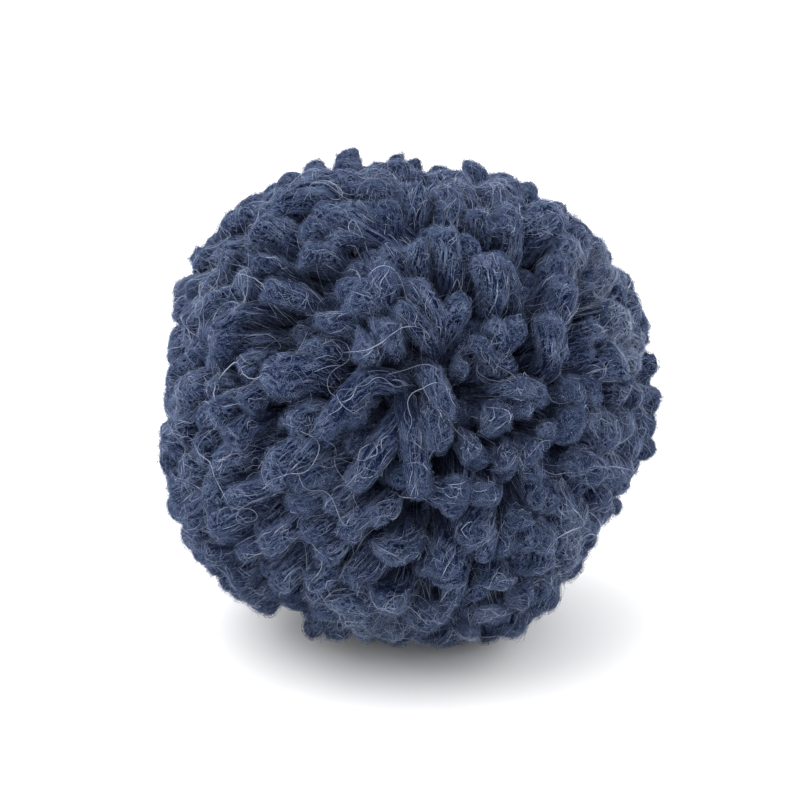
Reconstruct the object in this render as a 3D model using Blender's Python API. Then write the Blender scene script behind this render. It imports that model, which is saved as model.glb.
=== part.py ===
"""Yarn pom pom, 90 mm across, resting on a floor at z = 0.

Cut ends of thick, loosely spun yarn fan out from a bound middle. The yarn was wound on a ring,
so its ends part at a crown on the front, lean away from it, and part again at the back.
The piece is one closed solid: a ball of packed yarn, the backing, with a lock for each yarn end.
Lengths are in metres, +Z is up, and the front faces -Y.
"""

import math

import bmesh
import bpy
import numpy as np
from mathutils import Vector

MM = 0.001

# The ball. Its middle lies a little off the origin, so that its trimmed outline is centred there.
BALL_RADIUS = 45.0 * MM
CORE_RADIUS = 29.0 * MM
REST_RADIUS = 15.0 * MM
MIDDLE_RIGHT, MIDDLE_BACK = -0.75 * MM, 0.95 * MM
FRONT_TILT = math.radians(20)

# The locks. A lean is how much nearer the crown the root lies than the end.
LOCK_COUNT = 280
LOCK_WIDTH = 8.6 * MM
LENGTH_SPREAD = 1.0 * MM
CROWN_LEAN = math.radians(15)
LEAN_BIAS = 0.35
LEAN_BEND = 1.7
TWIST = math.radians(50)
SEED = 7

# Half widths, as shares of the gap to the next lock: at the root, and the most along the lock.
ROOT_SHARE = 0.36
CLEAR_SHARE = 0.46
FINE_POINTS = 26

# How the ends are spread: their jitter and steps apart are shares of their spacing.
END_JITTER = 0.22
PUSH_ROUNDS = 40
PUSH_STEP = 0.12
PUSH_EASE = 0.93

# The floor. A lock that ends lower than FLOOR_REACH ends on the floor.
FLOOR_REACH = 1.6 * MM
FLOOR_EASE = 1.5 * MM

# The crown, where the ends part: its place on the front, right of and above the ball's middle.
# The locks lean most on its upper left, at an angle from the right.
CROWN_RIGHT, CROWN_UP = 3.0 * MM, 0.5 * MM
LEAN_MOST_ANGLE = math.radians(150)

# Reach of the trimmed ends round the front view. Columns: angle from the right, in degrees; reach, in mm.
OUTLINE = (
    (0, 45.6),
    (30, 46.4),
    (60, 45.4),
    (90, 43.4),
    (120, 46.2),
    (150, 45.8),
    (180, 43.4),
    (210, 46.6),
    (240, 45.4),
    (270, 44.4),
    (300, 46.6),
    (330, 43.8),
)

# Locks that stand out of the outline. Columns: angle from the right, in degrees; reach, in mm.
RIM_LOCKS = (
    (1, 47.2),
    (28, 47.6),
    (61, 47.0),
    (74, 46.8),
    (92, 46.0),
    (102, 47.4),
    (145, 47.2),
    (166, 44.8),
    (219, 48.0),
    (236, 47.4),
    (250, 46.0),
    (290, 47.4),
    (333, 45.0),
    (348, 47.4),
)

# Main locks of the front. Columns: end of the lock right of and above the ball's middle, in mm.
FRONT_LOCKS = (
    (-22.5, 32.9),
    (-24.5, 19.8),
    (-31.0, 9.5),
    (-28.8, 3.8),
    (-26.8, 29.5),
    (-4.2, 23.1),
    (-11.7, 17.2),
    (-4.0, 13.6),
    (5.2, 31.7),
    (14.6, 25.0),
    (16.0, 30.4),
    (28.8, 21.4),
    (37.8, 7.7),
    (8.8, -2.0),
    (18.3, 2.8),
    (16.7, -5.3),
    (11.7, -23.8),
    (6.6, -30.8),
    (1.6, -17.9),
    (-8.1, -15.0),
    (-22.9, -12.3),
    (-14.6, -5.6),
    (-3.6, 35.2),
    (-24.3, -25.2),
    (-14.0, -29.0),
    (25.5, 35.2),
    (39.9, -16.1),
)

# Rings along a lock. Columns: share of its length; half width, as a share of its own.
LOCK_RINGS = (
    (0.34, 0.70),
    (0.64, 0.92),
    (0.88, 1.00),
    (1.00, 0.58),
)

YARN_COLOUR = (0.050, 0.072, 0.135, 1.0)
YARN_ROUGHNESS = 0.95

FRONT = np.array((0.0, -math.cos(FRONT_TILT), math.sin(FRONT_TILT)))
RIGHT = np.array((1.0, 0.0, 0.0))
UP = np.cross(RIGHT, -FRONT)
MIDDLE = np.array((MIDDLE_RIGHT, MIDDLE_BACK, math.sqrt(BALL_RADIUS**2 - REST_RADIUS**2)))


def unit(vectors):
    """The vectors, each scaled to a length of 1."""
    return vectors / np.linalg.norm(vectors, axis=-1, keepdims=True)


def on_front(right, up):
    """Direction from the ball's middle to a place on its front, as seen from the front."""
    ahead = math.sqrt(max(BALL_RADIUS**2 - right**2 - up**2, 0.0))
    return unit(right * RIGHT + up * UP + ahead * FRONT)


CROWN = on_front(CROWN_RIGHT, CROWN_UP)
CROWN_SIDE = unit(np.cross(UP, CROWN))
CROWN_TOP = np.cross(CROWN, CROWN_SIDE)


def outline_reach(direction):
    """How far the trimmed ball reaches in a direction: its outline, fading to a round at front and back."""
    right, up = direction @ RIGHT, direction @ UP
    angle = math.degrees(math.atan2(up, right)) % 360
    angles = [row[0] for row in OUTLINE] + [360]
    reaches = [row[1] for row in OUTLINE] + [OUTLINE[0][1]]
    edge = np.interp(angle, angles, reaches) * MM
    share = right**2 + up**2
    return BALL_RADIUS + (edge - BALL_RADIUS) * share


def spiral(count):
    """Directions spread evenly over a sphere along a golden spiral."""
    turns = np.arange(count) + 0.5
    height = 1 - 2 * turns / count
    angle = turns * math.pi * (3 - math.sqrt(5))
    width = np.sqrt(1 - height**2)
    return np.stack([width * np.cos(angle), width * np.sin(angle), height], axis=1)


def pushed_apart(held, free, step):
    """Directions held in place, then the free ones after each has moved away from its neighbours."""
    directions = np.concatenate([held, free])
    for _ in range(PUSH_ROUNDS):
        gaps = directions[:, None] - directions[None]
        squares = (gaps**2).sum(axis=2) + np.eye(len(directions))
        push = (gaps / squares[..., None] ** 2).sum(axis=1)
        push -= (push * directions).sum(axis=1, keepdims=True) * directions
        size = np.linalg.norm(push, axis=1, keepdims=True)
        move = push / size * np.minimum(size / size.mean(), 2) * step
        move[: len(held)] = 0
        directions = unit(directions + move)
        step *= PUSH_EASE
    return directions


def lock_ends():
    """Direction and reach of each lock's end: the named locks first, then the ones that fill the ball."""
    random = np.random.default_rng(SEED)
    rim = [math.cos(math.radians(a)) * RIGHT + math.sin(math.radians(a)) * UP for a, _ in RIM_LOCKS]
    front = [on_front(right * MM, up * MM) for right, up in FRONT_LOCKS]
    named = np.array(rim + front)
    spacing = math.sqrt(4 * math.pi / LOCK_COUNT)
    fill = spiral(LOCK_COUNT)
    fill = unit(fill + random.normal(0, END_JITTER * spacing, fill.shape))
    clear = np.linalg.norm(fill[:, None] - named[None], axis=2).min(axis=1)
    fill = fill[np.argsort(-clear)][: LOCK_COUNT - len(named)]
    directions = pushed_apart(named, fill, PUSH_STEP * spacing)
    spread = random.normal(0, LENGTH_SPREAD, len(directions)).clip(-2 * LENGTH_SPREAD, 2 * LENGTH_SPREAD)
    reaches = np.array([outline_reach(d) for d in directions]) + spread
    reaches[: len(RIM_LOCKS)] = [reach * MM for _, reach in RIM_LOCKS]
    return directions, reaches


def lean_at(around):
    """How far roots lean towards the crown, as an angle: most at the upper left."""
    return CROWN_LEAN * (1 + LEAN_BIAS * math.cos(around - LEAN_MOST_ANGLE))


def lock_line(direction, reach, shares):
    """Points down the middle of a lock, from the core to its end, leaning away from the crown."""
    polar = math.acos(np.clip(direction @ CROWN, -1, 1))
    around = math.atan2(direction @ CROWN_TOP, direction @ CROWN_SIDE)
    lean = lean_at(around) * math.sin(2 * polar)
    points = []
    for share in shares:
        angle = polar - lean * (1 - share**LEAN_BEND)
        heading = (
            math.cos(angle) * CROWN
            + math.sin(angle) * math.cos(around) * CROWN_SIDE
            + math.sin(angle) * math.sin(around) * CROWN_TOP
        )
        points.append(MIDDLE + heading * (CORE_RADIUS + (reach - CORE_RADIUS) * share))
    return np.array(points)


def nearest_gaps(points):
    """Distance from each point to its nearest neighbour."""
    gaps = np.linalg.norm(points[:, None] - points[None], axis=2)
    return (gaps + np.eye(len(points))).min(axis=1)


def clear_widths(lines, shares):
    """Half width at each ring of each lock: its own, or less where a neighbour passes closer."""
    fine_shares = np.linspace(0, 1, FINE_POINTS)
    fine = np.array([[np.interp(fine_shares, shares, axis) for axis in line.T] for line in lines])
    fine = fine.transpose(0, 2, 1)
    nearest_ring = np.abs(fine_shares[:, None] - np.array(shares)[None]).argmin(axis=1)
    widths = np.empty(lines.shape[:2])
    for number, line in enumerate(fine):
        others = np.delete(fine, number, axis=0).reshape(-1, 3)
        gaps = np.linalg.norm(line[:, None] - others[None], axis=2).min(axis=1)
        for ring in range(len(shares)):
            widths[number, ring] = min(CLEAR_SHARE * gaps[nearest_ring == ring].min(), LOCK_WIDTH / 2)
    return widths


def ring_corners(centre, normal, aside, half_width, turn):
    """Four corners round a centre, square to normal and turned about it from the side away from aside."""
    across = unit(np.cross(normal, aside))
    along = np.cross(normal, across)
    angles = turn + np.arange(4) * math.pi / 2
    return [centre + half_width * (math.cos(a) * across + math.sin(a) * along) for a in angles]


def off_floor(point):
    """The point, eased to stay just above the floor."""
    if point[2] < FLOOR_EASE:
        point[2] = FLOOR_EASE * math.exp(point[2] / FLOOR_EASE - 1)
    return point


def lock_rings(line, root_half, half_widths, turn):
    """Corners of every ring of a lock, from its root on the core to its end."""
    root_normal = unit(line[0] - MIDDLE)
    root_centre = MIDDLE + root_normal * math.sqrt(CORE_RADIUS**2 - root_half**2)
    aside = min((CROWN, CROWN_SIDE, CROWN_TOP), key=lambda axis: abs(root_normal @ axis))
    rings = [ring_corners(root_centre, root_normal, aside, root_half, turn)]
    rests = line[-1][2] < FLOOR_REACH
    if rests:
        below = MIDDLE[2] / (MIDDLE[2] - line[-1][2])
        line = MIDDLE + (line - MIDDLE) * (1 + (below - 1) * np.linspace(0, 1, len(line))[:, None])
    for number, (share, width) in enumerate(LOCK_RINGS, start=1):
        ahead = unit(line[min(number + 1, len(line) - 1)] - line[number - 1])
        ring = ring_corners(line[number], ahead, aside, width * half_widths[number], turn + TWIST * share)
        rings.append([off_floor(corner) for corner in ring])
    if rests:
        for corner in rings[-1]:
            corner[2] = 0.0
    return rings


def add_core(mesh, roots):
    """Covers the core between the roots: the hull of all roots, open where a lock leaves it."""
    hull = bmesh.ops.convex_hull(mesh, input=[corner for root in roots for corner in root])
    owner = {corner: number for number, root in enumerate(roots) for corner in root}
    faces = [face for face in hull["geom"] if isinstance(face, bmesh.types.BMFace)]
    closing = [face for face in faces if len({owner[corner] for corner in face.verts}) == 1]
    bmesh.ops.delete(mesh, geom=closing, context="FACES_ONLY")
    for root in roots:
        for first, second in zip(root[::2], root[1::2] + root[:1]):
            if (edge := mesh.edges.get((first, second))) and not edge.link_faces:
                mesh.edges.remove(edge)
        for first, second in ((root[0], root[2]), (root[1], root[3])):
            if edge := mesh.edges.get((first, second)):
                mesh.edges.remove(edge)


def add_lock(mesh, rings):
    """Sides of a lock from ring to ring, and the cut end that closes it."""
    for lower, upper in zip(rings, rings[1:]):
        for side in range(4):
            after = (side + 1) % 4
            mesh.faces.new((lower[side], lower[after], upper[after], upper[side]))
    mesh.faces.new(rings[-1])


def yarn_material():
    """Soft, matt yarn."""
    material = bpy.data.materials.new("yarn")
    material.use_nodes = True
    shader = material.node_tree.nodes["Principled BSDF"]
    shader.inputs["Base Color"].default_value = YARN_COLOUR
    shader.inputs["Roughness"].default_value = YARN_ROUGHNESS
    shader.inputs["Metallic"].default_value = 0.0
    return material


def add_pompom():
    """The whole pom pom as one object."""
    random = np.random.default_rng(SEED + 1)
    directions, reaches = lock_ends()
    shares = [0.0] + [share for share, _ in LOCK_RINGS]
    lines = np.array([lock_line(d, r, shares) for d, r in zip(directions, reaches)])
    root_halves = ROOT_SHARE * nearest_gaps(lines[:, 0])
    widths = clear_widths(lines, shares)
    mesh = bmesh.new()
    locks = []
    for line, root_half, half_widths in zip(lines, root_halves, widths):
        turn = random.uniform(0, math.pi / 2)
        rings = lock_rings(line, root_half, half_widths, turn)
        locks.append([[mesh.verts.new(Vector(corner)) for corner in ring] for ring in rings])
    add_core(mesh, [rings[0] for rings in locks])
    for rings in locks:
        add_lock(mesh, rings)
    bmesh.ops.recalc_face_normals(mesh, faces=mesh.faces)
    data = bpy.data.meshes.new("pompom")
    mesh.to_mesh(data)
    mesh.free()
    data.shade_smooth()
    data.materials.append(yarn_material())
    pompom = bpy.data.objects.new("pompom", data)
    bpy.context.scene.collection.objects.link(pompom)


def main():
    """Clears the scene and builds the pom pom."""
    for old in list(bpy.data.objects):
        bpy.data.objects.remove(old)
    add_pompom()


main()
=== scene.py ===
"""Yarn pom pom, dressed: every cut yarn end with its fibres and strays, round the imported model.

The pile has the crown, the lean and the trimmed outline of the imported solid, and more ends than it has
locks. Lengths are in metres, +Z is up, and the front faces -Y and 20 degrees up.
Run it as a script. It is laid out as a Blender add-on, with its sizes and colours in the sidebar.
"""

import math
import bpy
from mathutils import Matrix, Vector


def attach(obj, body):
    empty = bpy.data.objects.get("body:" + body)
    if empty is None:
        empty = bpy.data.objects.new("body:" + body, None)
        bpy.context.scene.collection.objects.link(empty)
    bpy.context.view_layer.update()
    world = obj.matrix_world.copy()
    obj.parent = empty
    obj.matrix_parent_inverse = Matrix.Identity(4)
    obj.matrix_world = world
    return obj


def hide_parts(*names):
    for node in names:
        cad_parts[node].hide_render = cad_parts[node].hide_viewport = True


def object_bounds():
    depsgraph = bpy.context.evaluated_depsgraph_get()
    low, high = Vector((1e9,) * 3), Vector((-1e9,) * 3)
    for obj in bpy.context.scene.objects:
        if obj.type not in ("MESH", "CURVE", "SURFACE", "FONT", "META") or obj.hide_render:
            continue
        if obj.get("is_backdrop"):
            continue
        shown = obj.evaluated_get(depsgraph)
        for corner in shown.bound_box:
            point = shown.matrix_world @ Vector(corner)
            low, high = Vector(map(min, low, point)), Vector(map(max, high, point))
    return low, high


bl_info = {
    "name": "Yarn pom pom",
    "version": (1, 0, 0),
    "blender": (4, 5, 0),
    "location": "3D View > Sidebar > Pom pom",
    "description": "Dresses the packed pom pom with its yarn ends, fibres, strays and stage",
    "category": "Add Mesh",
}

from typing import NamedTuple

import bpy
import numpy as np
from mathutils import Vector
from mathutils.bvhtree import BVHTree

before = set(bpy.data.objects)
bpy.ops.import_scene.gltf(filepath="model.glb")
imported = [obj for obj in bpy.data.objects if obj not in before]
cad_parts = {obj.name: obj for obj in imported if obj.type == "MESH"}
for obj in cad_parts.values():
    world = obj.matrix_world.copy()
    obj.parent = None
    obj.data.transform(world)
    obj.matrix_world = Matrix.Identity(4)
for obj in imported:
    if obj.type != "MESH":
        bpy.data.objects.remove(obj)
CAD_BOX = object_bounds()

MM = 0.001
NODE = "pompom"
BODY = "root"

# The map of a piece of many rods: its name, and the margin of each rod's cell, as a share of the cell.
UV_MAP = "OFBake"
CELL_EDGE = 0.04

# A seed for each thing that is left to chance.
SEEDS = {
    "spread": 7,
    "yarn ends": 21,
    "short ends": 22,
    "combed": 31,
    "fluff": 36,
    "fuzz": 41,
    "strays": 51,
}

# The ball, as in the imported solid.
BALL_RADIUS = 45.0 * MM
CORE_RADIUS = 29.0 * MM
REST_RADIUS = 15.0 * MM
MIDDLE_RIGHT, MIDDLE_BACK = -0.75 * MM, 0.95 * MM
FRONT_TILT = math.radians(20)

# How the yarn ends spread over the ball. Three of these are shares of their spacing.
END_JITTER = 0.22  # how far each strays from an even spread
CLEAR_SHARE = 0.69  # how near a named end the others start
PUSH_STEP = 0.12  # how far they push each other apart, in the first of the rounds
PUSH_ROUNDS = 40
PUSH_EASE = 0.93  # how far they move in a round, as a share of the round before
LEAN_STRETCH = 1.4  # how much further apart they end along the lean than across it

# How long the yarn ends are. A direction's part along the front's axis says how much it faces the front.
LENGTH_SPREAD = 0.65 * MM
SPREAD_LIMITS = (-2.0, 1.5)  # the shortest and the longest, as multiples of the spread
FRONT_LOWER = 0.5 * MM  # how much shorter those of the front are
FRONT_FROM, FRONT_FADE = 0.45, 0.2  # how much those face the front, and over how much it sets in
TRIM_SHARE = 0.25  # how much of the trimmed ball's slope each cut takes
LEAST_UPRIGHT = 0.5  # a cut slants no more than on a yarn end that stands this upright

# How the yarn ends lean away from the crown.
CROWN_RIGHT, CROWN_UP = 3.0 * MM, 0.5 * MM
CROWN_LEAN = math.radians(15)
LEAN_MOST_ANGLE = math.radians(150)
LEAN_BIAS = 0.35  # how much more they lean to that angle, and less away from it
LEAN_BEND = 1.7  # how much of the lean is near the roots
BACK_LEAN = 0.6  # how much of it is left on the back
YARN_TWIST = math.radians(140)

# Reach of the trimmed ends round the front view. Columns: angle from the right, in degrees; reach, in mm.
OUTLINE = (
    (0, 45.6),
    (15, 45.7),
    (30, 46.4),
    (45, 45.1),
    (60, 44.6),
    (75, 43.8),
    (90, 41.9),
    (105, 44.5),
    (120, 45.0),
    (135, 46.2),
    (150, 45.2),
    (165, 43.8),
    (180, 42.4),
    (195, 44.8),
    (210, 46.9),
    (225, 46.9),
    (240, 44.4),
    (255, 43.7),
    (270, 43.0),
    (285, 44.9),
    (300, 46.1),
    (315, 43.6),
    (330, 42.6),
    (345, 43.8),
)

# How far the roots are turned about the crown from their ends. Columns: angle from the right; turn; both
# in degrees.
SWIRL = (
    (0, -8),
    (45, 16),
    (90, 14),
    (125, 38),
    (155, 34),
    (180, 8),
    (210, 4),
    (240, -10),
    (280, -16),
    (320, -14),
)

# Ends that stand out of the outline. Columns: angle from the right, in degrees; reach and width, in mm.
RIM_ENDS = (
    (1, 46.6, 3.0),
    (28, 46.7, 5.0),
    (36, 46.0, 4.0),
    (48, 45.2, 5.0),
    (60, 45.8, 4.4),
    (66, 45.2, 4.2),
    (74, 45.2, 3.8),
    (88, 43.8, 3.4),
    (92, 44.6, 3.4),
    (103, 46.6, 4.4),
    (111, 46.5, 4.2),
    (134, 46.6, 4.6),
    (145, 46.6, 4.4),
    (166, 43.8, 4.4),
    (192, 45.0, 4.6),
    (200, 45.4, 4.4),
    (217, 47.4, 4.4),
    (236, 46.0, 4.4),
    (248.5, 46.0, 4.4),
    (276, 43.6, 4.2),
    (290, 46.4, 4.4),
    (301, 46.0, 4.4),
    (333, 44.2, 3.6),
    (348, 46.4, 4.6),
)

# The notch in the outline, between two clumps: its angle from the right, its half width, how far the ends
# within it reach, and how much it runs to the front and to the back.
NOTCH_ANGLE, NOTCH_HALF = math.radians(242.5), math.radians(3.4)
NOTCH_REACH = 40.3 * MM
NOTCH_SPAN = 0.45

# Main yarn ends of the front as the camera sees them, from the ball's middle, in mm. Columns: cut end,
# right and up; where the end comes out of the pile, right and up; how far it bows to the left of the way
# from there to its cut; how far it stands out of the trimmed ball; width.
FRONT_ENDS = (
    (-22.7, 32.2, -9.6, 31.1, -1.6, 0.6, 6.2),
    (-26.3, 28.9, -15.9, 24.6, -0.9, 0.4, 5.8),
    (-18.0, 29.3, -11.0, 24.6, -0.9, 0.2, 4.4),
    (-18.0, 24.6, -9.9, 22.1, -0.9, 0.2, 4.4),
    (-26.1, 23.4, -18.2, 20.3, -0.7, 0.0, 4.1),
    (-28.8, 20.3, -21.8, 17.8, -0.5, -0.4, 4.8),
    (-24.3, 19.2, -13.2, 14.5, -0.9, 0.4, 4.4),
    (-31.2, 23.5, -25.4, 21.7, -0.7, 0.0, 3.8),
    (-14.1, 28.0, -5.1, 26.1, 0.0, -1.2, 3.8),
    (-4.5, 22.8, -1.7, 14.2, 0.0, 1.3, 7.4),
    (-9.2, 18.1, -4.2, 13.8, -0.6, 0.9, 6.8),
    (-3.5, 13.8, -1.8, 8.1, 0.0, 1.2, 5.8),
    (-7.8, 9.9, -5.3, 5.9, -0.4, 0.4, 5.0),
    (-1.1, 16.7, 5.9, 8.1, 0.0, 1.6, 4.2),
    (1.0, 21.0, 6.3, 10.0, -0.8, 0.8, 4.6),
    (-3.6, 35.4, -0.9, 26.8, 0.5, 0.0, 4.8),
    (0.1, 38.5, 1.9, 28.0, -1.1, 0.2, 5.8),
    (1.6, 28.2, 3.0, 19.6, 0.0, 0.2, 4.4),
    (6.6, 30.6, 8.8, 17.8, 0.0, 0.2, 5.8),
    (12.0, 33.6, 13.5, 25.0, 0.0, -0.2, 4.4),
    (16.2, 31.3, 16.7, 25.0, 0.0, 0.2, 4.4),
    (13.5, 25.3, 14.2, 13.5, -0.9, 0.6, 5.5),
    (12.9, 11.3, 15.1, 4.8, 0.0, -1.2, 3.4),
    (9.6, 6.6, 9.9, 4.1, 0.0, -2.0, 3.0),
    (27.9, 21.4, 22.0, 9.0, -0.7, 0.8, 5.2),
    (24.8, 14.5, 23.0, 3.7, -0.5, 0.5, 5.1),
    (26.8, 33.6, 19.2, 25.0, 0.0, 0.0, 7.5),
    (18.0, 25.0, 18.5, 12.4, 0.0, -1.0, 3.4),
    (34.0, 13.1, 26.4, 9.5, 0.0, 0.0, 4.4),
    (37.8, 7.7, 28.6, 4.5, 0.0, 0.3, 6.5),
    (39.4, 1.6, 31.8, 1.9, 0.0, -0.3, 5.1),
    (36.5, 14.2, 29.7, 14.5, 0.0, -0.8, 4.8),
    (29.7, 2.3, 24.3, -0.2, 0.0, -0.4, 4.1),
    (22.5, 2.7, 14.2, 0.9, 0.0, 0.0, 4.4),
    (7.9, -2.2, 3.2, 6.3, 0.0, 1.7, 4.3),
    (16.9, -4.9, 13.8, -1.7, 0.0, -0.4, 5.6),
    (21.0, -2.4, 18.3, 0.1, 0.0, -0.3, 4.1),
    (25.5, -6.3, 21.4, -4.2, 0.0, 0.0, 3.8),
    (28.9, -4.9, 25.5, -2.0, 0.0, 0.0, 5.1),
    (23.4, -10.7, 18.3, -7.1, 0.0, 0.0, 4.8),
    (18.5, -12.5, 15.6, -7.1, 0.0, -0.2, 4.8),
    (31.3, -11.0, 26.8, -8.5, 0.0, 0.0, 4.8),
    (12.6, -10.4, 9.3, -5.7, 0.0, -0.2, 4.0),
    (11.3, -15.3, 4.1, -14.6, -0.4, 0.4, 5.1),
    (11.8, -25.1, 10.6, -17.9, 0.0, 0.5, 7.2),
    (14.0, -16.8, 11.3, -13.9, 0.0, 0.3, 4.8),
    (6.6, -9.2, 4.1, 0.1, 0.0, -0.2, 5.1),
    (2.8, -16.8, 0.1, 0.9, 0.5, 1.0, 4.4),
    (-8.9, -15.7, -0.9, -2.0, 0.0, 0.6, 4.8),
    (-14.3, -6.3, 1.2, 2.3, -4.4, 1.5, 5.2),
    (-9.2, -4.0, -5.6, 0.7, -0.8, 0.2, 4.0),
    (-20.2, -5.6, -12.8, -2.0, -0.7, 0.0, 4.8),
    (-24.0, -13.9, -11.7, -4.9, 0.0, 0.6, 6.8),
    (-25.4, 3.2, -11.7, 3.7, -1.1, 0.6, 7.5),
    (-29.0, 4.8, -21.8, 6.6, -0.7, 0.0, 3.8),
    (-32.6, 8.8, -25.4, 11.3, -0.5, 0.0, 4.4),
    (-34.4, 10.6, -21.3, 15.3, -0.5, 0.4, 3.8),
    (-33.3, 1.6, -27.9, 3.0, 0.0, -0.2, 4.8),
    (-28.5, -1.7, -20.7, 1.6, -0.7, 0.0, 5.1),
    (-33.3, -4.5, -24.9, 1.2, -0.5, 0.3, 5.8),
    (-30.3, -8.5, -22.9, -2.4, -0.5, 0.0, 5.8),
    (-40.2, -7.1, -32.6, -0.8, 0.0, 0.0, 6.2),
    (-30.3, -17.1, -18.9, -12.1, 0.0, 0.0, 4.8),
    (-33.0, -21.5, -21.1, -16.1, 0.0, 0.3, 5.1),
    (-33.9, -26.0, -25.4, -23.3, 0.0, 0.0, 4.4),
    (-24.3, -25.4, -15.7, -17.9, 0.0, 0.2, 5.1),
    (-29.7, -30.8, -22.9, -26.0, 0.0, 0.0, 4.8),
    (-14.6, -27.9, -8.1, -20.4, 0.0, 0.5, 4.4),
    (-10.8, -24.2, -5.3, -16.4, 0.0, 0.5, 5.5),
    (-6.0, -21.1, -0.6, -15.0, 0.0, 0.2, 4.4),
    (-4.5, -27.9, 0.9, -21.5, 0.0, -0.3, 6.2),
    (0.3, -27.2, 1.8, -20.6, 0.0, 0.0, 3.8),
    (6.3, -31.0, 7.7, -21.1, 0.0, 0.4, 6.2),
    (-17.0, -32.3, -10.3, -25.1, 0.0, 0.2, 5.1),
    (-5.6, -35.9, -0.2, -29.4, 0.0, 0.0, 6.5),
    (4.8, -37.7, 7.0, -31.9, 0.0, 0.0, 4.4),
    (15.1, -37.1, 13.5, -30.8, 0.0, 0.2, 5.1),
    (15.8, -32.4, 14.2, -26.0, 0.0, 0.0, 5.5),
    (19.4, -34.4, 18.5, -28.3, 0.0, 0.0, 5.1),
    (11.1, -40.2, 10.6, -35.5, 0.0, 0.0, 4.8),
    (20.5, -21.5, 17.4, -17.9, 0.0, 0.0, 4.4),
    (24.6, -24.2, 21.0, -20.6, 0.0, 0.0, 4.8),
)

# Deep gaps of the front, seen and measured in the same way. Columns: middle, right and up; radius.
DARK_GAPS = (
    (-4.7, -1.1, 2.9),
    (6.8, -11.2, 3.2),
    (-10.5, -5.3, 2.3),
    (14.2, 6.3, 2.5),
    (-18.6, 16.0, 2.9),
    (-25.4, 16.3, 2.2),
    (-29.4, 16.0, 1.8),
    (-8.7, 23.5, 1.8),
    (4.8, -18.4, 2.5),
    (-0.6, -20.0, 2.2),
    (-22.9, -8.0, 2.9),
    (-31.2, 6.3, 2.2),
    (-21.3, 10.0, 2.5),
    (33.6, -1.7, 2.2),
    (28.2, -7.4, 2.3),
    (24.3, 19.6, 1.8),
    (21.0, 18.1, 2.2),
    (28.2, 12.7, 2.3),
    (25.5, 4.6, 1.4),
    (-13.5, 1.9, 1.8),
    (-3.6, 7.3, 1.8),
    (11.4, 0.8, 2.8),
    (-18.9, -26.9, 2.5),
    (-13.5, -29.0, 1.6),
    (-24.3, -28.7, 1.8),
    (-6.7, -25.6, 1.4),
    (2.1, -26.0, 1.4),
    (9.3, -29.0, 1.8),
    (3.0, -31.7, 1.8),
    (-16.2, 28.9, 1.8),
    (32.7, 20.8, 1.6),
    (18.3, -8.5, 1.4),
)

# How much the yarn ends are lowered into a deep gap, and how soft its edge is.
GAP_DEPTH = 9.0 * MM
GAP_EDGE = 1.6 * MM

# The stray fibres of the front that show most: points along each, right and up, in mm.
FRONT_STRAYS = (
    ((-10.5, 19.6), (-8.1, 20.8), (-6.0, 22.6), (-4.0, 23.4), (-2.0, 23.0), (-0.4, 21.2), (0.7, 17.1)),
    ((-3.1, 5.0), (-0.2, 6.1), (2.7, 7.0), (4.8, 6.8), (6.3, 5.7), (7.7, 4.5), (10.2, 3.4), (12.4, 1.8)),
    ((-6.0, 24.4), (-6.9, 28.9), (-8.0, 31.3), (-9.0, 32.2), (-9.9, 31.5), (-9.4, 29.7), (-7.8, 27.1)),
    ((24.4, -8.7), (25.2, -10.8), (27.0, -13.0), (29.7, -14.6), (32.0, -13.7), (36.5, -11.7), (41.4, -12.6)),
    ((28.9, -18.6), (31.1, -19.7), (32.9, -21.3), (33.1, -22.9), (31.5, -23.6), (26.1, -24.5), (24.4, -26.0)),
    ((5.5, -0.6), (9.3, -4.7), (12.2, -7.8), (14.4, -9.4), (14.9, -12.1)),
    ((-0.6, -36.8), (3.0, -39.5), (6.6, -41.1), (10.2, -41.8), (13.5, -40.7), (15.6, -39.3)),
    ((-33.3, 11.7), (-35.5, 9.1), (-36.0, 6.6), (-35.5, 4.3), (-35.3, 1.9)),
    ((-11.4, 11.5), (-10.8, 10.0), (-9.8, 8.8), (-8.7, 8.8)),
    ((8.1, 14.2), (9.3, 15.8), (9.0, 18.5), (9.5, 21.7), (10.2, 22.8), (11.3, 21.2)),
    ((12.0, 2.3), (11.5, 0.1), (11.7, -2.6), (12.0, -5.3), (11.7, -8.3)),
    ((12.0, -1.7), (16.0, -1.3), (18.3, -2.0), (19.2, -4.2), (20.8, -4.9)),
    ((9.3, -0.8), (11.7, -2.0), (15.4, -3.6), (16.2, -1.1)),
    ((28.2, 18.1), (30.9, 18.9), (33.3, 18.0), (34.7, 15.6), (33.6, 13.3), (31.5, 12.7)),
    ((35.4, 27.1), (38.7, 25.0), (40.5, 21.7), (39.4, 18.5), (40.8, 14.9), (40.3, 10.9)),
    ((-9.2, 8.6), (-11.4, 7.7), (-14.1, 6.6), (-16.4, 5.2)),
)

# Matted spots of the pile, most of them at its rim. Columns: middle, right and up, in mm; how far it
# spreads, in radians.
MATTED_SPOTS = (
    (34.0, 26.0, 0.13),
    (37.0, 19.0, 0.13),
    (39.5, 12.0, 0.12),
    (36.0, 23.0, 0.09),
    (38.5, 16.0, 0.09),
    (37.0, 21.5, 0.08),
    (40.5, 8.5, 0.08),
    (40.0, -4.0, 0.14),
    (34.0, -22.0, 0.16),
    (27.0, -30.0, 0.16),
    (14.0, -38.5, 0.13),
    (6.0, -40.0, 0.20),
    (-3.0, -41.5, 0.13),
    (-12.0, -40.0, 0.16),
    (-28.0, -32.0, 0.20),
    (-40.0, -4.0, 0.16),
    (-36.0, 20.0, 0.18),
    (-14.0, 39.0, 0.15),
    (12.0, 39.0, 0.15),
)

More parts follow.
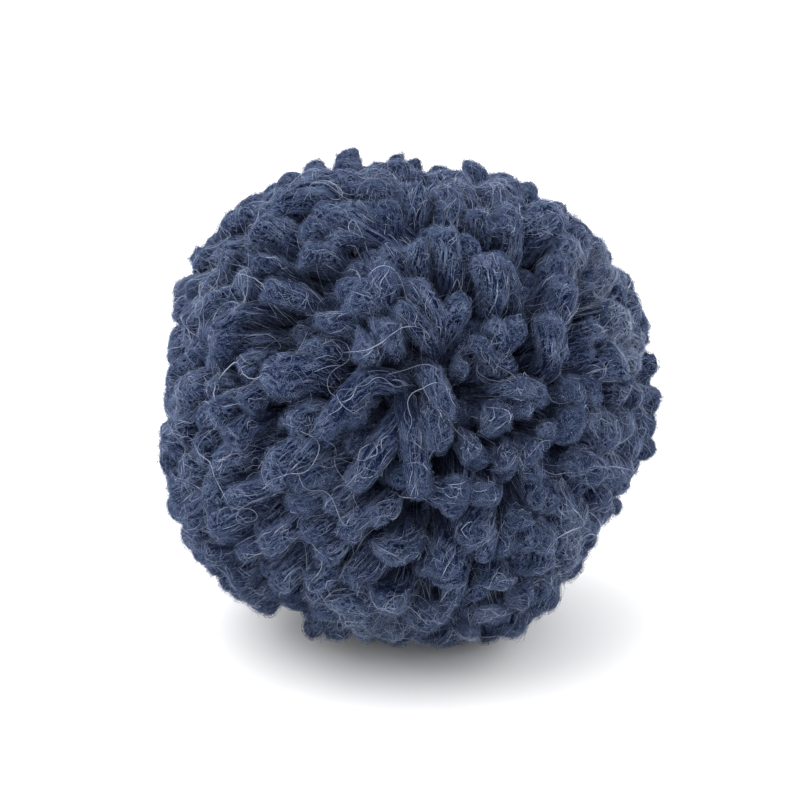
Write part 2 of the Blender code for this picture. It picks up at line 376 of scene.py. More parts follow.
# Where the named ends stand in every list of yarn ends: those of the rim, then those of the front.
RIM_PLACES = slice(0, len(RIM_ENDS))
FRONT_PLACES = slice(len(RIM_ENDS), len(RIM_ENDS) + len(FRONT_ENDS))

# Along a yarn end: its points; how far inside the core it starts, and where it begins to show, as shares
# of its length; and its points just below the cut and near it.
LINE_POINTS = 26
LINE_START = -0.5
SKIN_START = 0.30
BELOW_CUT = -5
NEAR_CUT = -3

# A front end comes out of the pile at its foot, this far out and this far along. Others keep clear of
# places on it, given as shares of the way from its cut to its foot.
FOOT_RADIUS = 37.0 * MM
FOOT_SHARE = 0.45
BODY_SHARES = (0.35, 0.7)

# How far under a front end the others end, as a share of a yarn end's width, and how much of the haze
# shows, so that a named end with its haze has the width that its table gives.
FRONT_CLEARANCE = 0.55
HAZE_SHOWN = 1.3

# Short ends: how many places are tried for them, how much of their colour they keep under painted shade, how
# uneven they are, and how far below the trimmed ball they end by the room that they have. Columns: room;
# depth; both in mm.
DEEP_PLACES = 5000
SHORT_END_SHADE_KEEP = 0.92
DEEP_UNEVEN = 0.5 * MM
DEEP_DEPTHS = (
    (2.0, 3.6),
    (4.5, 1.0),
)

# Yarn below this height is eased up, so that it stays above the floor.
FLOOR_EASE = 0.5 * MM

# Within this radius the yarn has the full painted shade of the deep pile, which fades out towards the trimmed
# ball.
FULL_SHADE_RADIUS = 35.0 * MM

# The yarn that shows on each end, for the scale of its fibres: its length and its radius, in mm.
SHOWN_LENGTH, SHOWN_RADIUS = 17.0, 2.4

# The camera's distance from the ball's middle.
VIEW_DISTANCE = 600.0 * MM

FRONT = np.array((0.0, -math.cos(FRONT_TILT), math.sin(FRONT_TILT)))
RIGHT = np.array((1.0, 0.0, 0.0))
UP = np.cross(RIGHT, -FRONT)
MIDDLE = np.array((MIDDLE_RIGHT, MIDDLE_BACK, math.sqrt(BALL_RADIUS**2 - REST_RADIUS**2)))


def unit(vectors):
    """The vectors, each scaled to a length of 1."""
    return vectors / np.linalg.norm(vectors, axis=-1, keepdims=True)


def on_front(right, up, radius=BALL_RADIUS):
    """Direction from the ball's middle to a place on its front, as the camera sees it."""
    ahead = math.sqrt(max(radius**2 - right**2 - up**2, 0.0))
    nearness = 1 - ahead / VIEW_DISTANCE
    return unit(nearness * (right * RIGHT + up * UP) + ahead * FRONT)


def front_places(rows):
    """Directions of the places on the front that the rows of a table start with."""
    return np.array([on_front(row[0] * MM, row[1] * MM) for row in rows])


def read_round(rows, angle):
    """A value at an angle, from a table that goes once round. Columns: angle, in degrees; value."""
    angles, values = np.array([*rows, (360, rows[0][1])]).T
    return np.interp(np.degrees(angle) % 360, angles, values)


CROWN = on_front(CROWN_RIGHT, CROWN_UP)
CROWN_SIDE = unit(np.cross(UP, CROWN))
CROWN_TOP = np.cross(CROWN, CROWN_SIDE)


# ---------------------------------------------------------------- the ends and their lines


def outline_reach(directions):
    """How far the trimmed ball reaches in each direction: its outline, fading to a round front and back."""
    right, up = directions @ RIGHT, directions @ UP
    edge = read_round(OUTLINE, np.arctan2(up, right)) * MM
    return BALL_RADIUS + (edge - BALL_RADIUS) * (right**2 + up**2)


def spiral(count):
    """Directions spread evenly over a sphere along a golden spiral."""
    turns = np.arange(count) + 0.5
    height = 1 - 2 * turns / count
    angle = turns * math.pi * (3 - math.sqrt(5))
    width = np.sqrt(1 - height**2)
    return np.stack([width * np.cos(angle), width * np.sin(angle), height], axis=1)


def pushed_apart(held, free, step):
    """Directions held in place, then the free ones after each has moved away from its neighbours. They end
    further apart along the lean than across it, as the yarn ends lie side by side."""
    directions = np.concatenate([held, free])
    for _ in range(PUSH_ROUNDS):
        gaps = directions[:, None] - directions[None]
        polar = (directions @ CROWN)[:, None]
        away = unit(polar * directions - CROWN)
        shorten = (1 - 1 / LEAN_STRETCH) * np.sqrt(np.abs(polar) * np.sqrt(1 - polar**2) * 2)
        gaps = gaps - (gaps * away[:, None]).sum(axis=2, keepdims=True) * (shorten * away)[:, None]
        squares = (gaps**2).sum(axis=2) + np.eye(len(directions))
        push = (gaps / squares[..., None] ** 2).sum(axis=1)
        push -= (push * directions).sum(axis=1, keepdims=True) * directions
        size = np.linalg.norm(push, axis=1, keepdims=True)
        move = push / size * np.minimum(size / size.mean(), 2) * step
        move[: len(held)] = 0
        directions = unit(directions + move)
        step *= PUSH_EASE
    return directions


def front_bodies():
    """Directions of places along the shown part of each front yarn end, which other ends keep clear of."""
    places = []
    for row in FRONT_ENDS:
        cut = on_front(row[0] * MM, row[1] * MM) * BALL_RADIUS
        foot = on_front(row[2] * MM, row[3] * MM, FOOT_RADIUS) * FOOT_RADIUS
        places += [cut * (1 - share) + foot * share for share in BODY_SHARES]
    return unit(np.array(places))


def pile_ends(count):
    """Direction and reach of every yarn end: those of the rim, those of the front, then the rest.
    count is how many there would be if they all lay evenly."""
    random = np.random.default_rng(SEEDS["spread"])
    angles = np.radians([row[0] for row in RIM_ENDS])[:, None]
    rim = np.cos(angles) * RIGHT + np.sin(angles) * UP
    named = np.concatenate([rim, front_places(FRONT_ENDS)])
    taken = np.concatenate([named, front_bodies()])
    spacing = math.sqrt(4 * math.pi / count)
    fill = spiral(count)
    fill = unit(fill + random.normal(0, END_JITTER * spacing, fill.shape))
    clear = np.linalg.norm(fill[:, None] - taken[None], axis=2).min(axis=1)
    fill = pushed_apart(taken, fill[clear > CLEAR_SHARE * spacing], PUSH_STEP * spacing)[len(taken) :]
    directions = np.concatenate([named, fill])
    spread = random.normal(0, 1, len(directions)).clip(*SPREAD_LIMITS) * LENGTH_SPREAD
    facing = np.clip((directions @ FRONT - FRONT_FROM) / FRONT_FADE, 0, 1)
    reaches = outline_reach(directions) + spread - FRONT_LOWER * facing
    reaches[RIM_PLACES] = [row[1] * MM for row in RIM_ENDS]
    proud = np.array([row[5] * MM for row in FRONT_ENDS])
    reaches[FRONT_PLACES] = outline_reach(directions[FRONT_PLACES]) + proud
    return directions, np.where(in_notch(directions), np.minimum(reaches, NOTCH_REACH), reaches)


def in_notch(directions):
    """Whether each direction lies in the notch of the outline."""
    right, up, ahead = directions @ RIGHT, directions @ UP, directions @ FRONT
    aside = np.abs(np.arctan2(up, right) % (2 * math.pi) - NOTCH_ANGLE)
    return (aside < NOTCH_HALF) & (np.abs(ahead) < NOTCH_SPAN)


def lean_lines(directions, reaches):
    """Points down the middle of each yarn end, from inside the core to the cut, leaning from the crown."""
    shares = np.linspace(LINE_START, 1, LINE_POINTS)
    polar = np.arccos(np.clip(directions @ CROWN, -1, 1))[:, None]
    around = np.arctan2(directions @ CROWN_TOP, directions @ CROWN_SIDE)[:, None]
    lean = CROWN_LEAN * (1 + LEAN_BIAS * np.cos(around - LEAN_MOST_ANGLE)) * np.sin(2 * polar)
    lean = np.where(polar > math.pi / 2, BACK_LEAN * lean, lean)
    inward = 1 - np.maximum(shares, 0) ** LEAN_BEND
    angle = polar - lean * inward
    swirl = np.radians(read_round(SWIRL, around))
    around = around - swirl * np.sqrt(np.maximum(np.sin(2 * polar), 0)) * inward
    heading = (
        np.cos(angle)[..., None] * CROWN
        + (np.sin(angle) * np.cos(around))[..., None] * CROWN_SIDE
        + (np.sin(angle) * np.sin(around))[..., None] * CROWN_TOP
    )
    radius = CORE_RADIUS + (reaches[:, None] - CORE_RADIUS) * shares
    return heading * radius[..., None]


def front_line(row, reach):
    """Points down the middle of a front yarn end: from inside, out of the pile at its foot, to its cut."""
    right, up, foot_right, foot_up, bow = [value * MM for value in row[:5]]
    cut = on_front(right, up) * reach
    foot = on_front(foot_right, foot_up, FOOT_RADIUS) * FOOT_RADIUS
    inside = unit(foot) * (CORE_RADIUS + LINE_START * (BALL_RADIUS - CORE_RADIUS))
    share = np.linspace(0, 1, LINE_POINTS)[:, None]
    from_inside = (share - FOOT_SHARE) * (share - 1) / FOOT_SHARE
    from_foot = share * (1 - share) / (FOOT_SHARE * (1 - FOOT_SHARE))
    from_cut = share * (share - FOOT_SHARE) / (1 - FOOT_SHARE)
    aside = unit(np.cross(FRONT, cut - foot))
    bent = np.sin(math.pi * np.clip((share - FOOT_SHARE) / (1 - FOOT_SHARE), 0, 1)) * bow * aside
    return from_inside * inside + from_foot * foot + from_cut * cut + bent


def swayed(lines, sway, bow, random):
    """The lines, each with its end pushed aside and its middle bowed, by chance."""
    share = np.linspace(0, 1, LINE_POINTS)[None, :, None]
    out = unit(lines[:, -1])[:, None]
    aside = random.normal(0, 1, (2, len(lines), 1, 3))
    aside -= (aside * out[None]).sum(axis=-1, keepdims=True) * out[None]
    moved = lines + aside[0] * sway * share**3 + aside[1] * bow * np.sin(math.pi * share) * share
    reach = np.linalg.norm(lines, axis=-1, keepdims=True)
    return unit(moved) * reach


def shortened(lines, depths):
    """The lines, each ending lower by its depth."""
    scale = 1 - depths / np.linalg.norm(lines[:, -1], axis=1)
    share = np.linspace(0, 1, LINE_POINTS)[None, :, None]
    return lines * (1 + (scale[:, None, None] - 1) * share)


def under_front_ends(lines, front_lines, clearance):
    """The lines, with those that end inside a front yarn end cut shorter, to lie beneath it."""
    middles = front_lines[:, LINE_POINTS // 2 : -4].reshape(-1, 3)
    cuts = lines[:, -1]
    gaps = np.linalg.norm(unit(cuts)[:, None] - unit(middles)[None], axis=2) * BALL_RADIUS
    below = np.linalg.norm(middles[gaps.argmin(axis=1)], axis=1) - clearance
    over = np.maximum(np.linalg.norm(cuts, axis=1) - below, 0)
    return shortened(lines, np.where(gaps.min(axis=1) < clearance, over, 0))


def round_gaps(lines):
    """The lines, with those that pass over a deep gap lowered into it."""
    depths = np.zeros(len(lines))
    upper = unit(lines[:, LINE_POINTS * 2 // 3 :])
    for right, up, radius in DARK_GAPS:
        middle = on_front(right * MM, up * MM)
        nearest = np.linalg.norm(upper - middle, axis=2).min(axis=1) * BALL_RADIUS
        inside = np.clip((radius * MM + GAP_EDGE - nearest) / (2 * GAP_EDGE), 0, 1)
        depths = np.maximum(depths, GAP_DEPTH * inside)
    return shortened(lines, depths)


class Pile:
    """Yarn ends as soft, twisted rods: their lines, and how thick and lumpy they are."""

    # Lobes wind round the yarn: how many there are of each kind, and how deep, as shares of its half width.
    LOBES = (2, 3, 5)
    LOBE_DEPTHS = np.array((0.11, 0.06, 0.04))

    # Lumps. Columns: how deep, as a share of the half width; waves along it and round it.
    LUMPS = (
        (0.07, 9, 0),
        (0.05, 16, 2),
    )

    # How uneven the cut is: the depths of one, two and three waves round it, as shares of the half width.
    # They set in over this share of the length, before the cut closes.
    RAGGED = np.array((0.30, 0.18, 0.10))
    RAGGED_OVER = 0.08

    # The yarn is slimmer inside the pile and swells on the way out: from where, over what share, how slim.
    SWELL_FROM, SWELL_OVER, SLIM = 0.34, 0.46, 0.74

    # How bluntly the cut closes, and from how many half widths before it.
    CLOSING_POWER = 2.7
    ROUNDING = (0.6, 1.15)

    def __init__(self, lines, widths, twist, random):
        count = len(lines)
        self.lines = lines
        self.half = widths / 2
        self.twist = twist * random.normal(1, 0.2, count)
        self.length = np.linalg.norm(np.diff(lines, axis=1), axis=2).sum(axis=1)
        self.ahead = unit(np.gradient(lines, axis=1))
        self.side = self.frames(unit(random.normal(0, 1, (count, 3))))
        self.across = np.cross(self.ahead, self.side)
        self.lobe_depth = self.LOBE_DEPTHS * random.uniform(0.4, 1.6, (count, len(self.LOBES)))
        self.lobe_phase = random.uniform(0, 2 * math.pi, (count, len(self.LOBES)))
        self.lump_phase = random.uniform(0, 2 * math.pi, (count, len(self.LUMPS)))
        self.ragged = random.uniform(0.3, 1.0, (len(self.RAGGED), count)) * self.RAGGED[:, None]
        self.ragged_phase = random.uniform(0, 2 * math.pi, self.ragged.shape)
        self.round_from = 1 - (self.half * random.uniform(*self.ROUNDING, count)) / self.length
        out = unit(lines[:, -1])
        aside = np.stack([self.side[:, -1], self.across[:, -1]])
        upright = np.maximum((self.ahead[:, -1] * out).sum(axis=1), LEAST_UPRIGHT)
        self.trim = -TRIM_SHARE * (aside * out).sum(axis=2) / upright

    def frames(self, first):
        """A side direction at every point, carried along each line without spinning."""
        side = np.empty_like(self.ahead)
        last = first
        for point in range(LINE_POINTS):
            ahead = self.ahead[:, point]
            last = unit(last - (last * ahead).sum(axis=1, keepdims=True) * ahead)
            side[:, point] = last
        return side

    def at(self, rows, which, share):
        """Values of a table of rows of points, read at a share of the way along."""
        place = np.clip(share, 0, 1) * (LINE_POINTS - 1)
        low = np.minimum(place.astype(int), LINE_POINTS - 2)
        part = (place - low)[..., None]
        return rows[which, low] * (1 - part) + rows[which, low + 1] * part

    def half_width(self, which, share, angle):
        """Half width of the yarn ends at a share of their length and an angle round them."""
        grown = np.clip((share - self.SWELL_FROM) / self.SWELL_OVER, 0, 1)
        swell = self.SLIM + (1 - self.SLIM) * grown**2 * (3 - 2 * grown)
        lump = 1
        for number, (depth, along, around) in enumerate(self.LUMPS):
            lump = lump + depth * np.sin(along * share + around * angle + self.lump_phase[which, number])
        start = self.round_from[which]
        closing = np.clip((share - start) / (1 - start), 0, 1)
        closed = np.sqrt(np.maximum(1 - closing**self.CLOSING_POWER, 0))
        size = self.half[which] * swell * lump * closed
        turned = angle - self.twist[which] * share
        for number, lobes in enumerate(self.LOBES):
            wave = np.cos(lobes * turned + self.lobe_phase[which, number])
            size = size * (1 + self.lobe_depth[which, number] * wave)
        return size

    def surface(self, which, share, angle, lift=0.0, leave=1.0):
        """Points on the yarn ends, or lifted off them. Past a share of leave they run straight on.
        The cut is uneven, and slants to lie along the trimmed ball."""
        half = self.half_width(which, np.minimum(share, leave), angle) + lift
        point = self.at(self.lines, which, share)
        side, across = self.at(self.side, which, share), self.at(self.across, which, share)
        blunt = np.clip((share - self.round_from[which]) / self.RAGGED_OVER + 1, 0, 1)
        uneven = sum(
            self.ragged[wave][which] * np.cos((wave + 1) * angle + self.ragged_phase[wave][which])
            for wave in range(len(self.RAGGED))
        )
        uneven = uneven + self.trim[0][which] * np.cos(angle) + self.trim[1][which] * np.sin(angle)
        beyond = np.maximum(share - 1, 0) * self.length[which] + uneven * half * blunt
        return (
            point
            + (half * np.cos(angle))[..., None] * side
            + (half * np.sin(angle))[..., None] * across
            + beyond[..., None] * self.ahead[which, -1]
        )


# ---------------------------------------------------------------- meshes


def off_floor(points):
    """The points, from the ball's middle, placed in the frame and eased to stay above the floor."""
    points = points + MIDDLE
    height = points[..., 2]
    eased = FLOOR_EASE * np.exp(np.minimum(height / FLOOR_EASE, 1) - 1)
    points[..., 2] = np.where(height < FLOOR_EASE, eased, height)
    return points


def rod_faces(rings, sides):
    """Faces of a rod that closes to a point at each end: vertex numbers, and the corners' rings and sides."""
    vertices, places = [], []

    def corner(ring, side):
        if ring == 0:
            return 0
        if ring == rings - 1:
            return 1 + (rings - 2) * sides
        return 1 + (ring - 1) * sides + side % sides

    for side in range(sides):
        first = ((0, side + 0.5), (1, side + 1), (1, side))
        last = ((rings - 1, side + 0.5), (rings - 2, side), (rings - 2, side + 1))
        for fan in (first, last):
            vertices.append([corner(ring, int(turn)) for ring, turn in fan])
            places.append(fan)
        for ring in range(1, rings - 2):
            quad = ((ring, side), (ring, side + 1), (ring + 1, side + 1), (ring + 1, side))
            vertices.append([corner(*place) for place in quad])
            places.append(quad)
    return vertices, places


def cells_for(count):
    """How many cells of the map count rods need each way."""
    return math.ceil(math.sqrt(count))


def rods(name, rings_of_points, material, cells):
    """A piece of many rods. rings_of_points holds, for each rod, its rings of corners; its two end rings
    are points. Each rod has a cell of the map: round the rod from left to right, along it upwards."""
    count, rings, sides = rings_of_points.shape[:3]
    first = rings_of_points[:, 0].mean(axis=1, keepdims=True)
    last = rings_of_points[:, -1].mean(axis=1, keepdims=True)
    middle = rings_of_points[:, 1:-1].reshape(count, -1, 3)
    points = np.concatenate([first, middle, last], axis=1)
    faces, places = rod_faces(rings, sides)
    sizes = np.array([len(face) for face in faces])
    corners = np.concatenate([np.array(face) for face in faces])
    place = np.concatenate([np.array(face, float) for face in places])
    each = points.shape[1]
    numbers = (corners[None] + np.arange(count)[:, None] * each).ravel()
    mesh = bpy.data.meshes.new(name)
    mesh.vertices.add(count * each)
    mesh.vertices.foreach_set("co", off_floor(points).astype(np.float32).ravel())
    mesh.loops.add(len(numbers))
    mesh.loops.foreach_set("vertex_index", numbers.astype(np.int32))
    starts = np.concatenate([[0], np.cumsum(np.tile(sizes, count))[:-1]])
    mesh.polygons.add(len(starts))
    mesh.polygons.foreach_set("loop_start", starts.astype(np.int32))
    mesh.polygons.foreach_set("use_smooth", np.ones(len(starts), bool))
    mesh.update(calc_edges=True)
    number = np.arange(count)
    cell = np.stack([number % cells, (number // cells) % cells], axis=1)[:, None]
    inside = np.stack([place[:, 1] / sides, place[:, 0] / (rings - 1)], axis=1)[None]
    uv = (cell + CELL_EDGE + (1 - 2 * CELL_EDGE) * inside) / cells
    mesh.uv_layers.new(name=UV_MAP).data.foreach_set("uv", uv.astype(np.float32).ravel())
    mesh.validate()
    piece = bpy.data.objects.new(name, mesh)
    bpy.context.scene.collection.objects.link(piece)
    mesh.materials.append(material)
    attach(piece, BODY)
    return piece


# Corners round a fibre, and what tips its first side off the ball's own directions.
FIBRE_SIDES = 3
ASKEW = 0.31 * RIGHT + 0.17 * UP


def thin_rings(paths, half_widths):
    """Rings of corners along each path, for rods() to skin. half_widths is one number, or one a path."""
    count, steps = paths.shape[:2]
    ahead = unit(np.gradient(paths, axis=1))
    side = np.empty_like(ahead)
    last = unit(np.cross(ahead[:, 0], unit(paths[:, 0]) + ASKEW))
    for step in range(steps):
        last = unit(last - (last * ahead[:, step]).sum(axis=1, keepdims=True) * ahead[:, step])
        side[:, step] = last
    across = np.cross(ahead, side)
    turn = np.arange(FIBRE_SIDES) * 2 * math.pi / FIBRE_SIDES
    taper = np.sqrt(np.sin(math.pi * np.linspace(0, 1, steps)))
    size = np.broadcast_to(half_widths, (count,))[:, None] * taper[None]
    corners = np.cos(turn)[:, None] * side[:, :, None] + np.sin(turn)[:, None] * across[:, :, None]
    return paths[:, :, None] + size[:, :, None, None] * corners


# ---------------------------------------------------------------- shader maths


class Link:
    """One output of a node. Python's operators on it add Math nodes."""

    def __init__(self, tree, socket):
        self.tree = tree
        self.socket = socket

    def math(self, operation, *values):
        return node(self.tree, "ShaderNodeMath", {"operation": operation}, dict(enumerate(values)))

    def __add__(self, other):
        return self.math("ADD", self, other)

    def __radd__(self, other):
        return self.math("ADD", other, self)

    def __sub__(self, other):
        return self.math("SUBTRACT", self, other)

    def __rsub__(self, other):
        return self.math("SUBTRACT", other, self)

    def __mul__(self, other):
        return self.math("MULTIPLY", self, other)

    def __rmul__(self, other):
        return self.math("MULTIPLY", other, self)

    def __truediv__(self, other):
        return self.math("DIVIDE", self, other)

    def __rtruediv__(self, other):
        return self.math("DIVIDE", other, self)

    def __pow__(self, other):
        return self.math("POWER", self, other)

    def __rpow__(self, other):
        return self.math("POWER", other, self)


def node(tree, kind, settings=None, values=None, output=0):
    """Adds a node, sets its settings and then its sockets, and returns one of its outputs."""
    made = tree.nodes.new(kind)
    for name, value in (settings or {}).items():
        if name == "stops":
            ramp = made.color_ramp
            while len(ramp.elements) < len(value):
                ramp.elements.new(0.5)
            for element, (place, colour) in zip(ramp.elements, value):
                element.position = place
                element.color = (*colour, 1.0)
        else:
            setattr(made, name, value)
    for name, value in (values or {}).items():
        if isinstance(value, Link):
            tree.links.new(value.socket, made.inputs[name])
        else:
            made.inputs[name].default_value = value
    return Link(tree, made.outputs[output])


def split(vector):
    """The three numbers of a vector link."""
    first = node(vector.tree, "ShaderNodeSeparateXYZ", None, {0: vector})
    return [Link(vector.tree, output) for output in first.socket.node.outputs]


def joined(tree, x, y, z):
    """A vector from three numbers."""
    return node(tree, "ShaderNodeCombineXYZ", None, {0: x, 1: y, 2: z})


def noise(place, scale, detail, roughness=0.5):
    """Soft noise, from 0 to 1, at a place."""
    values = {"Vector": place, "Scale": scale, "Detail": detail, "Roughness": roughness}
    return node(place.tree, "ShaderNodeTexNoise", {"noise_dimensions": "3D"}, values)


def between(value, low, high):
    """How far a number is from low to high: 0 at low and under it, 1 at high and over it."""
    return node(value.tree, "ShaderNodeMapRange", {"clamp": True}, {0: value, 1: low, 2: high})


def ramp(value, *stops):
    """A colour for a number. Each stop is a place and a colour."""
    return node(value.tree, "ShaderNodeValToRGB", {"stops": stops}, {0: value})


def mixed(share, first, second):
    """Two colours, mixed by a share of the second."""
    return node(share.tree, "ShaderNodeMix", {"data_type": "RGBA"}, {0: share, 6: first, 7: second}, 2)


def place_of(tree):
    """Where a point lies, in metres."""
    return node(tree, "ShaderNodeTexCoord", None, None, 3)


def rod_places(tree, cells):
    """Where a point lies on its rod: a random number of the rod's own, another, its turn and its share."""
    uv = node(tree, "ShaderNodeUVMap", {"uv_map": UV_MAP})
    scaled = node(tree, "ShaderNodeVectorMath", {"operation": "SCALE"}, {0: uv, "Scale": cells})
    cell = node(tree, "ShaderNodeVectorMath", {"operation": "FLOOR"}, {0: scaled})
    inside = node(tree, "ShaderNodeVectorMath", {"operation": "FRACTION"}, {0: scaled})
    chance = node(tree, "ShaderNodeTexWhiteNoise", {"noise_dimensions": "3D"}, {0: cell}, 1)
    first, second, _ = split(chance)
    across, along, _ = split(inside)
    turn = (across - CELL_EDGE) / (1 - 2 * CELL_EDGE) * (2 * math.pi)
    share = (along - CELL_EDGE) / (1 - 2 * CELL_EDGE)
    return first, second, turn, share


def new_material(name, sheen, sheen_tint):
    """An empty material, its tree and its shader, with the yarn's constant sheen."""
    material = bpy.data.materials.new(name)
    material.use_nodes = True
    tree = material.node_tree
    shader = tree.nodes["Principled BSDF"]
    shader.inputs["Metallic"].default_value = 0.0
    shader.inputs["Specular IOR Level"].default_value = 0.0
    shader.inputs["Sheen Weight"].default_value = sheen
    shader.inputs["Sheen Roughness"].default_value = 0.25
    shader.inputs["Sheen Tint"].default_value = (*sheen_tint, 1.0)
    return material, tree, shader


def connect(shader, name, link):
    """Feeds a socket of the shader."""
    link.tree.links.new(link.socket, shader.inputs[name])


def yarn_places(tree, cells):
    """A point's place in its own yarn, in mm: across, aside and along, wound with an uneven twist. With it
    come a random number of the yarn end's own and the share of its length."""
    own, other, turn, share = rod_places(tree, cells)
    length = share * SHOWN_LENGTH
    values = {"W": length * 0.22 + own * 50.0, "Scale": 1.0}
    uneven = node(tree, "ShaderNodeTexNoise", {"noise_dimensions": "1D"}, values)
    wound = turn - share * YARN_TWIST + uneven * 1.6
    across = wound.math("COSINE", wound) * SHOWN_RADIUS + own * 91.0
    aside = wound.math("SINE", wound) * SHOWN_RADIUS + other * 83.0
    return across, aside, length, other, share


def hairs(place, scale, width):
    """Thin, wavy lines, like loose fibres: 1 along them, falling to 0 at either side."""
    off = noise(place, scale, 1.0) - 0.5
    settings = {"operation": "SUBTRACT", "use_clamp": True}
    return node(place.tree, "ShaderNodeMath", settings, {0: 1.0, 1: off.math("ABSOLUTE", off) / width})


def depth_share(where):
    """How far out of the pile a point lies: 0 deep between the yarn ends, 1 where the ball is trimmed."""
    values = {0: where, 1: tuple(MIDDLE)}
    from_middle = node(where.tree, "ShaderNodeVectorMath", {"operation": "SUBTRACT"}, values)
    radius = node(where.tree, "ShaderNodeVectorMath", {"operation": "LENGTH"}, {0: from_middle}, 1)
    return between(radius, FULL_SHADE_RADIUS, BALL_RADIUS)


def yarn_material(name, colours, cells, shade_keep=1.0):
    """Spun yarn: fibres side by side, wound round the rod, under loose hairs, with painted shade deep in the
    pile.
    The last argument is how much of its colour it keeps: painted shade, for yarn that lies deeper in the
    pile."""
    material, tree, shader = new_material(name, colours.sheen, colours.glow)
    across, aside, length, other, share = yarn_places(tree, cells)
    fibres = noise(joined(tree, across, aside, length * 0.08), 4.6, 3.0, 0.65)
    frizz = noise(joined(tree, across, aside, length * 0.6), 3.6, 2.0, 0.6)
    broad = noise(joined(tree, across, aside, length * 0.3), 0.55, 1.0)
    along = hairs(joined(tree, across, aside, length * 0.12), 1.4, 0.06)
    where = place_of(tree)
    loose = hairs(where, 800.0, 0.03)
    # Painted light: the yarn is a little lighter towards its cut tip.
    tip = between(share, 0.84, 1.0)
    light = (fibres - 0.5) * 2.1 + (frizz - 0.5) * 0.4 + (broad - 0.5) * 0.12 + other * 0.03
    light = light + along * 0.28 + loose * 0.18 + tip * 0.04 + 0.30
    # Partly painted shade and light: the streaks' tone varies from fibre to fibre, but the darkest stop
    # stands for shade between the fibres and the pale one for light on the fibres on top.
    fibre_gap_shade, plain, pale = colours.yarn_fibre_shade, colours.yarn, colours.yarn_light
    shades = ((0.20, fibre_gap_shade), (0.46, plain), (0.68, pale), (1.0, colours.stray))
    stops = [(place, [part * shade_keep for part in shade]) for place, shade in shades]
    # Painted shade: the yarn is mixed towards a dark purple the deeper it lies in the pile, where shade falls
    # between the ends.
    colour = mixed(0.28 * (1 - depth_share(where)), ramp(light, *stops), (*colours.deep, 1.0))
    connect(shader, "Base Color", colour)
    connect(shader, "Roughness", 0.60 + fibres * 0.35)
    height = fibres * 0.9 + frizz * 0.5 + broad * 0.25 + along * 0.3 + loose * 0.3
    bump = node(tree, "ShaderNodeBump", None, {"Strength": 1.0, "Distance": 0.15 * MM, "Height": height})
    connect(shader, "Normal", bump)
    return material


def haze_material(name, colours, cells, cover):
    """The finest fibres off the yarn: wavy hairs with nothing between them. cover is how wide they are."""
    material, tree, shader = new_material(name, 0.4, colours.glow)
    across, aside, length, other, share = yarn_places(tree, cells)
    where = place_of(tree)
    along = hairs(joined(tree, across, aside, length * 0.14), 1.2, cover)
    curly = hairs(where, 700.0, cover * 0.8)
    cross = hairs(joined(tree, across * 0.6, aside * 0.6, length * 0.8), 1.7, cover * 0.7)
    alpha = along.math("MAXIMUM", along.math("MAXIMUM", along, curly), cross)
    connect(shader, "Alpha", alpha * between(share, 0.05, 0.35) * (0.85 + 0.15 * between(share, 0.8, 1.0)))
    bright = between(noise(where, 260.0, 1.0), 0.46, 0.66)
    colour = mixed(other * 0.15 + bright * 0.45 + 0.2, (*colours.fibre, 1.0), (*colours.haze, 1.0))
    connect(shader, "Base Color", colour)
    shader.inputs["Roughness"].default_value = 0.7
    return material


def fibre_material(name, colours, cells, low, high):
    """Single fibres: each of one shade between two, a little lighter to its ends."""
    material, tree, shader = new_material(name, 0.0, colours.stray)
    own, other, _, share = rod_places(tree, cells)
    shade = mixed(own**1.6, (*low, 1.0), (*high, 1.0))
    pale = share.math("ABSOLUTE", share - 0.5) * 0.4 * other
    colour = mixed(pale, shade, (*colours.stray, 1.0))
    connect(shader, "Base Color", colour)
    connect(shader, "Roughness", 0.42 + other * 0.25)
    shader.inputs["Specular IOR Level"].default_value = 0.2
    return material


def middle_material(colours):
    """Packed yarn deep in the pile: nearly black, from the yarn's colour and the painted shade of the deep
    pile, with a tangle of hairs.
    """
    material, tree, shader = new_material("packed_yarn", 0.0, colours.stray)
    where = place_of(tree)
    tangle = hairs(where, 700.0, 0.05) * 0.5 + hairs(where, 1100.0, 0.05) * 0.5
    # Painted shade: the packed yarn is mixed from the dark purple of the deep pile's shade and the yarn's
    # colour.
    connect(shader, "Base Color", mixed(tangle, (*colours.deep, 1.0), (*colours.yarn, 1.0)))
    connect(shader, "Roughness", 0.85 + tangle * 0.1)
    bump = node(tree, "ShaderNodeBump", None, {"Strength": 0.7, "Distance": 0.4 * MM, "Height": tangle})
    connect(shader, "Normal", bump)
    return material


# ---------------------------------------------------------------- sizes and colours in the sidebar


def colour_property(name, description, default):
    """A colour in the sidebar."""
    return bpy.props.FloatVectorProperty(
        name=name, description=description, default=default, subtype="COLOR", min=0.0, max=1.0
    )


def length_property(name, description, default):
    """A length in the sidebar."""
    return bpy.props.FloatProperty(
        name=name, description=description, default=default, unit="LENGTH", min=0.0
    )


def count_property(name, description, default):
    """A number of things in the sidebar."""
    return bpy.props.IntProperty(name=name, description=description, default=default, min=1)


class PomPomSizes(bpy.types.PropertyGroup):
    """Sizes and numbers of the pile."""

    ends: count_property("Yarn ends", "How many would show if they all lay evenly", 760)
    end_width: length_property("End width", "Mean width of a cut yarn end", 4.7 * MM)
    sway: length_property("Sway", "How far a yarn end strays sideways", 1.3 * MM)
    deep_ends: count_property("Short ends", "Shorter yarn ends, deeper in the pile", 350)
    combed: count_property("Combed fibres", "Fibres that lie along each yarn end", 16)
    fluff: count_property("Fluff", "Short fibres that stand off each yarn end", 12)
    fibre_width: length_property("Fibre width", "Width of a small bundle of fibres", 0.088 * MM)
    haze: length_property("Haze", "How far the finest fibres stand off the yarn", 0.4 * MM)
    fuzz: count_property("Fuzz", "Short curly fibres over the whole ball", 9700)
    strays: count_property("Strays", "Long curly fibres that lie over the ball", 1080)
    stray_width: length_property("Stray width", "Width of a long stray fibre", 0.14 * MM)


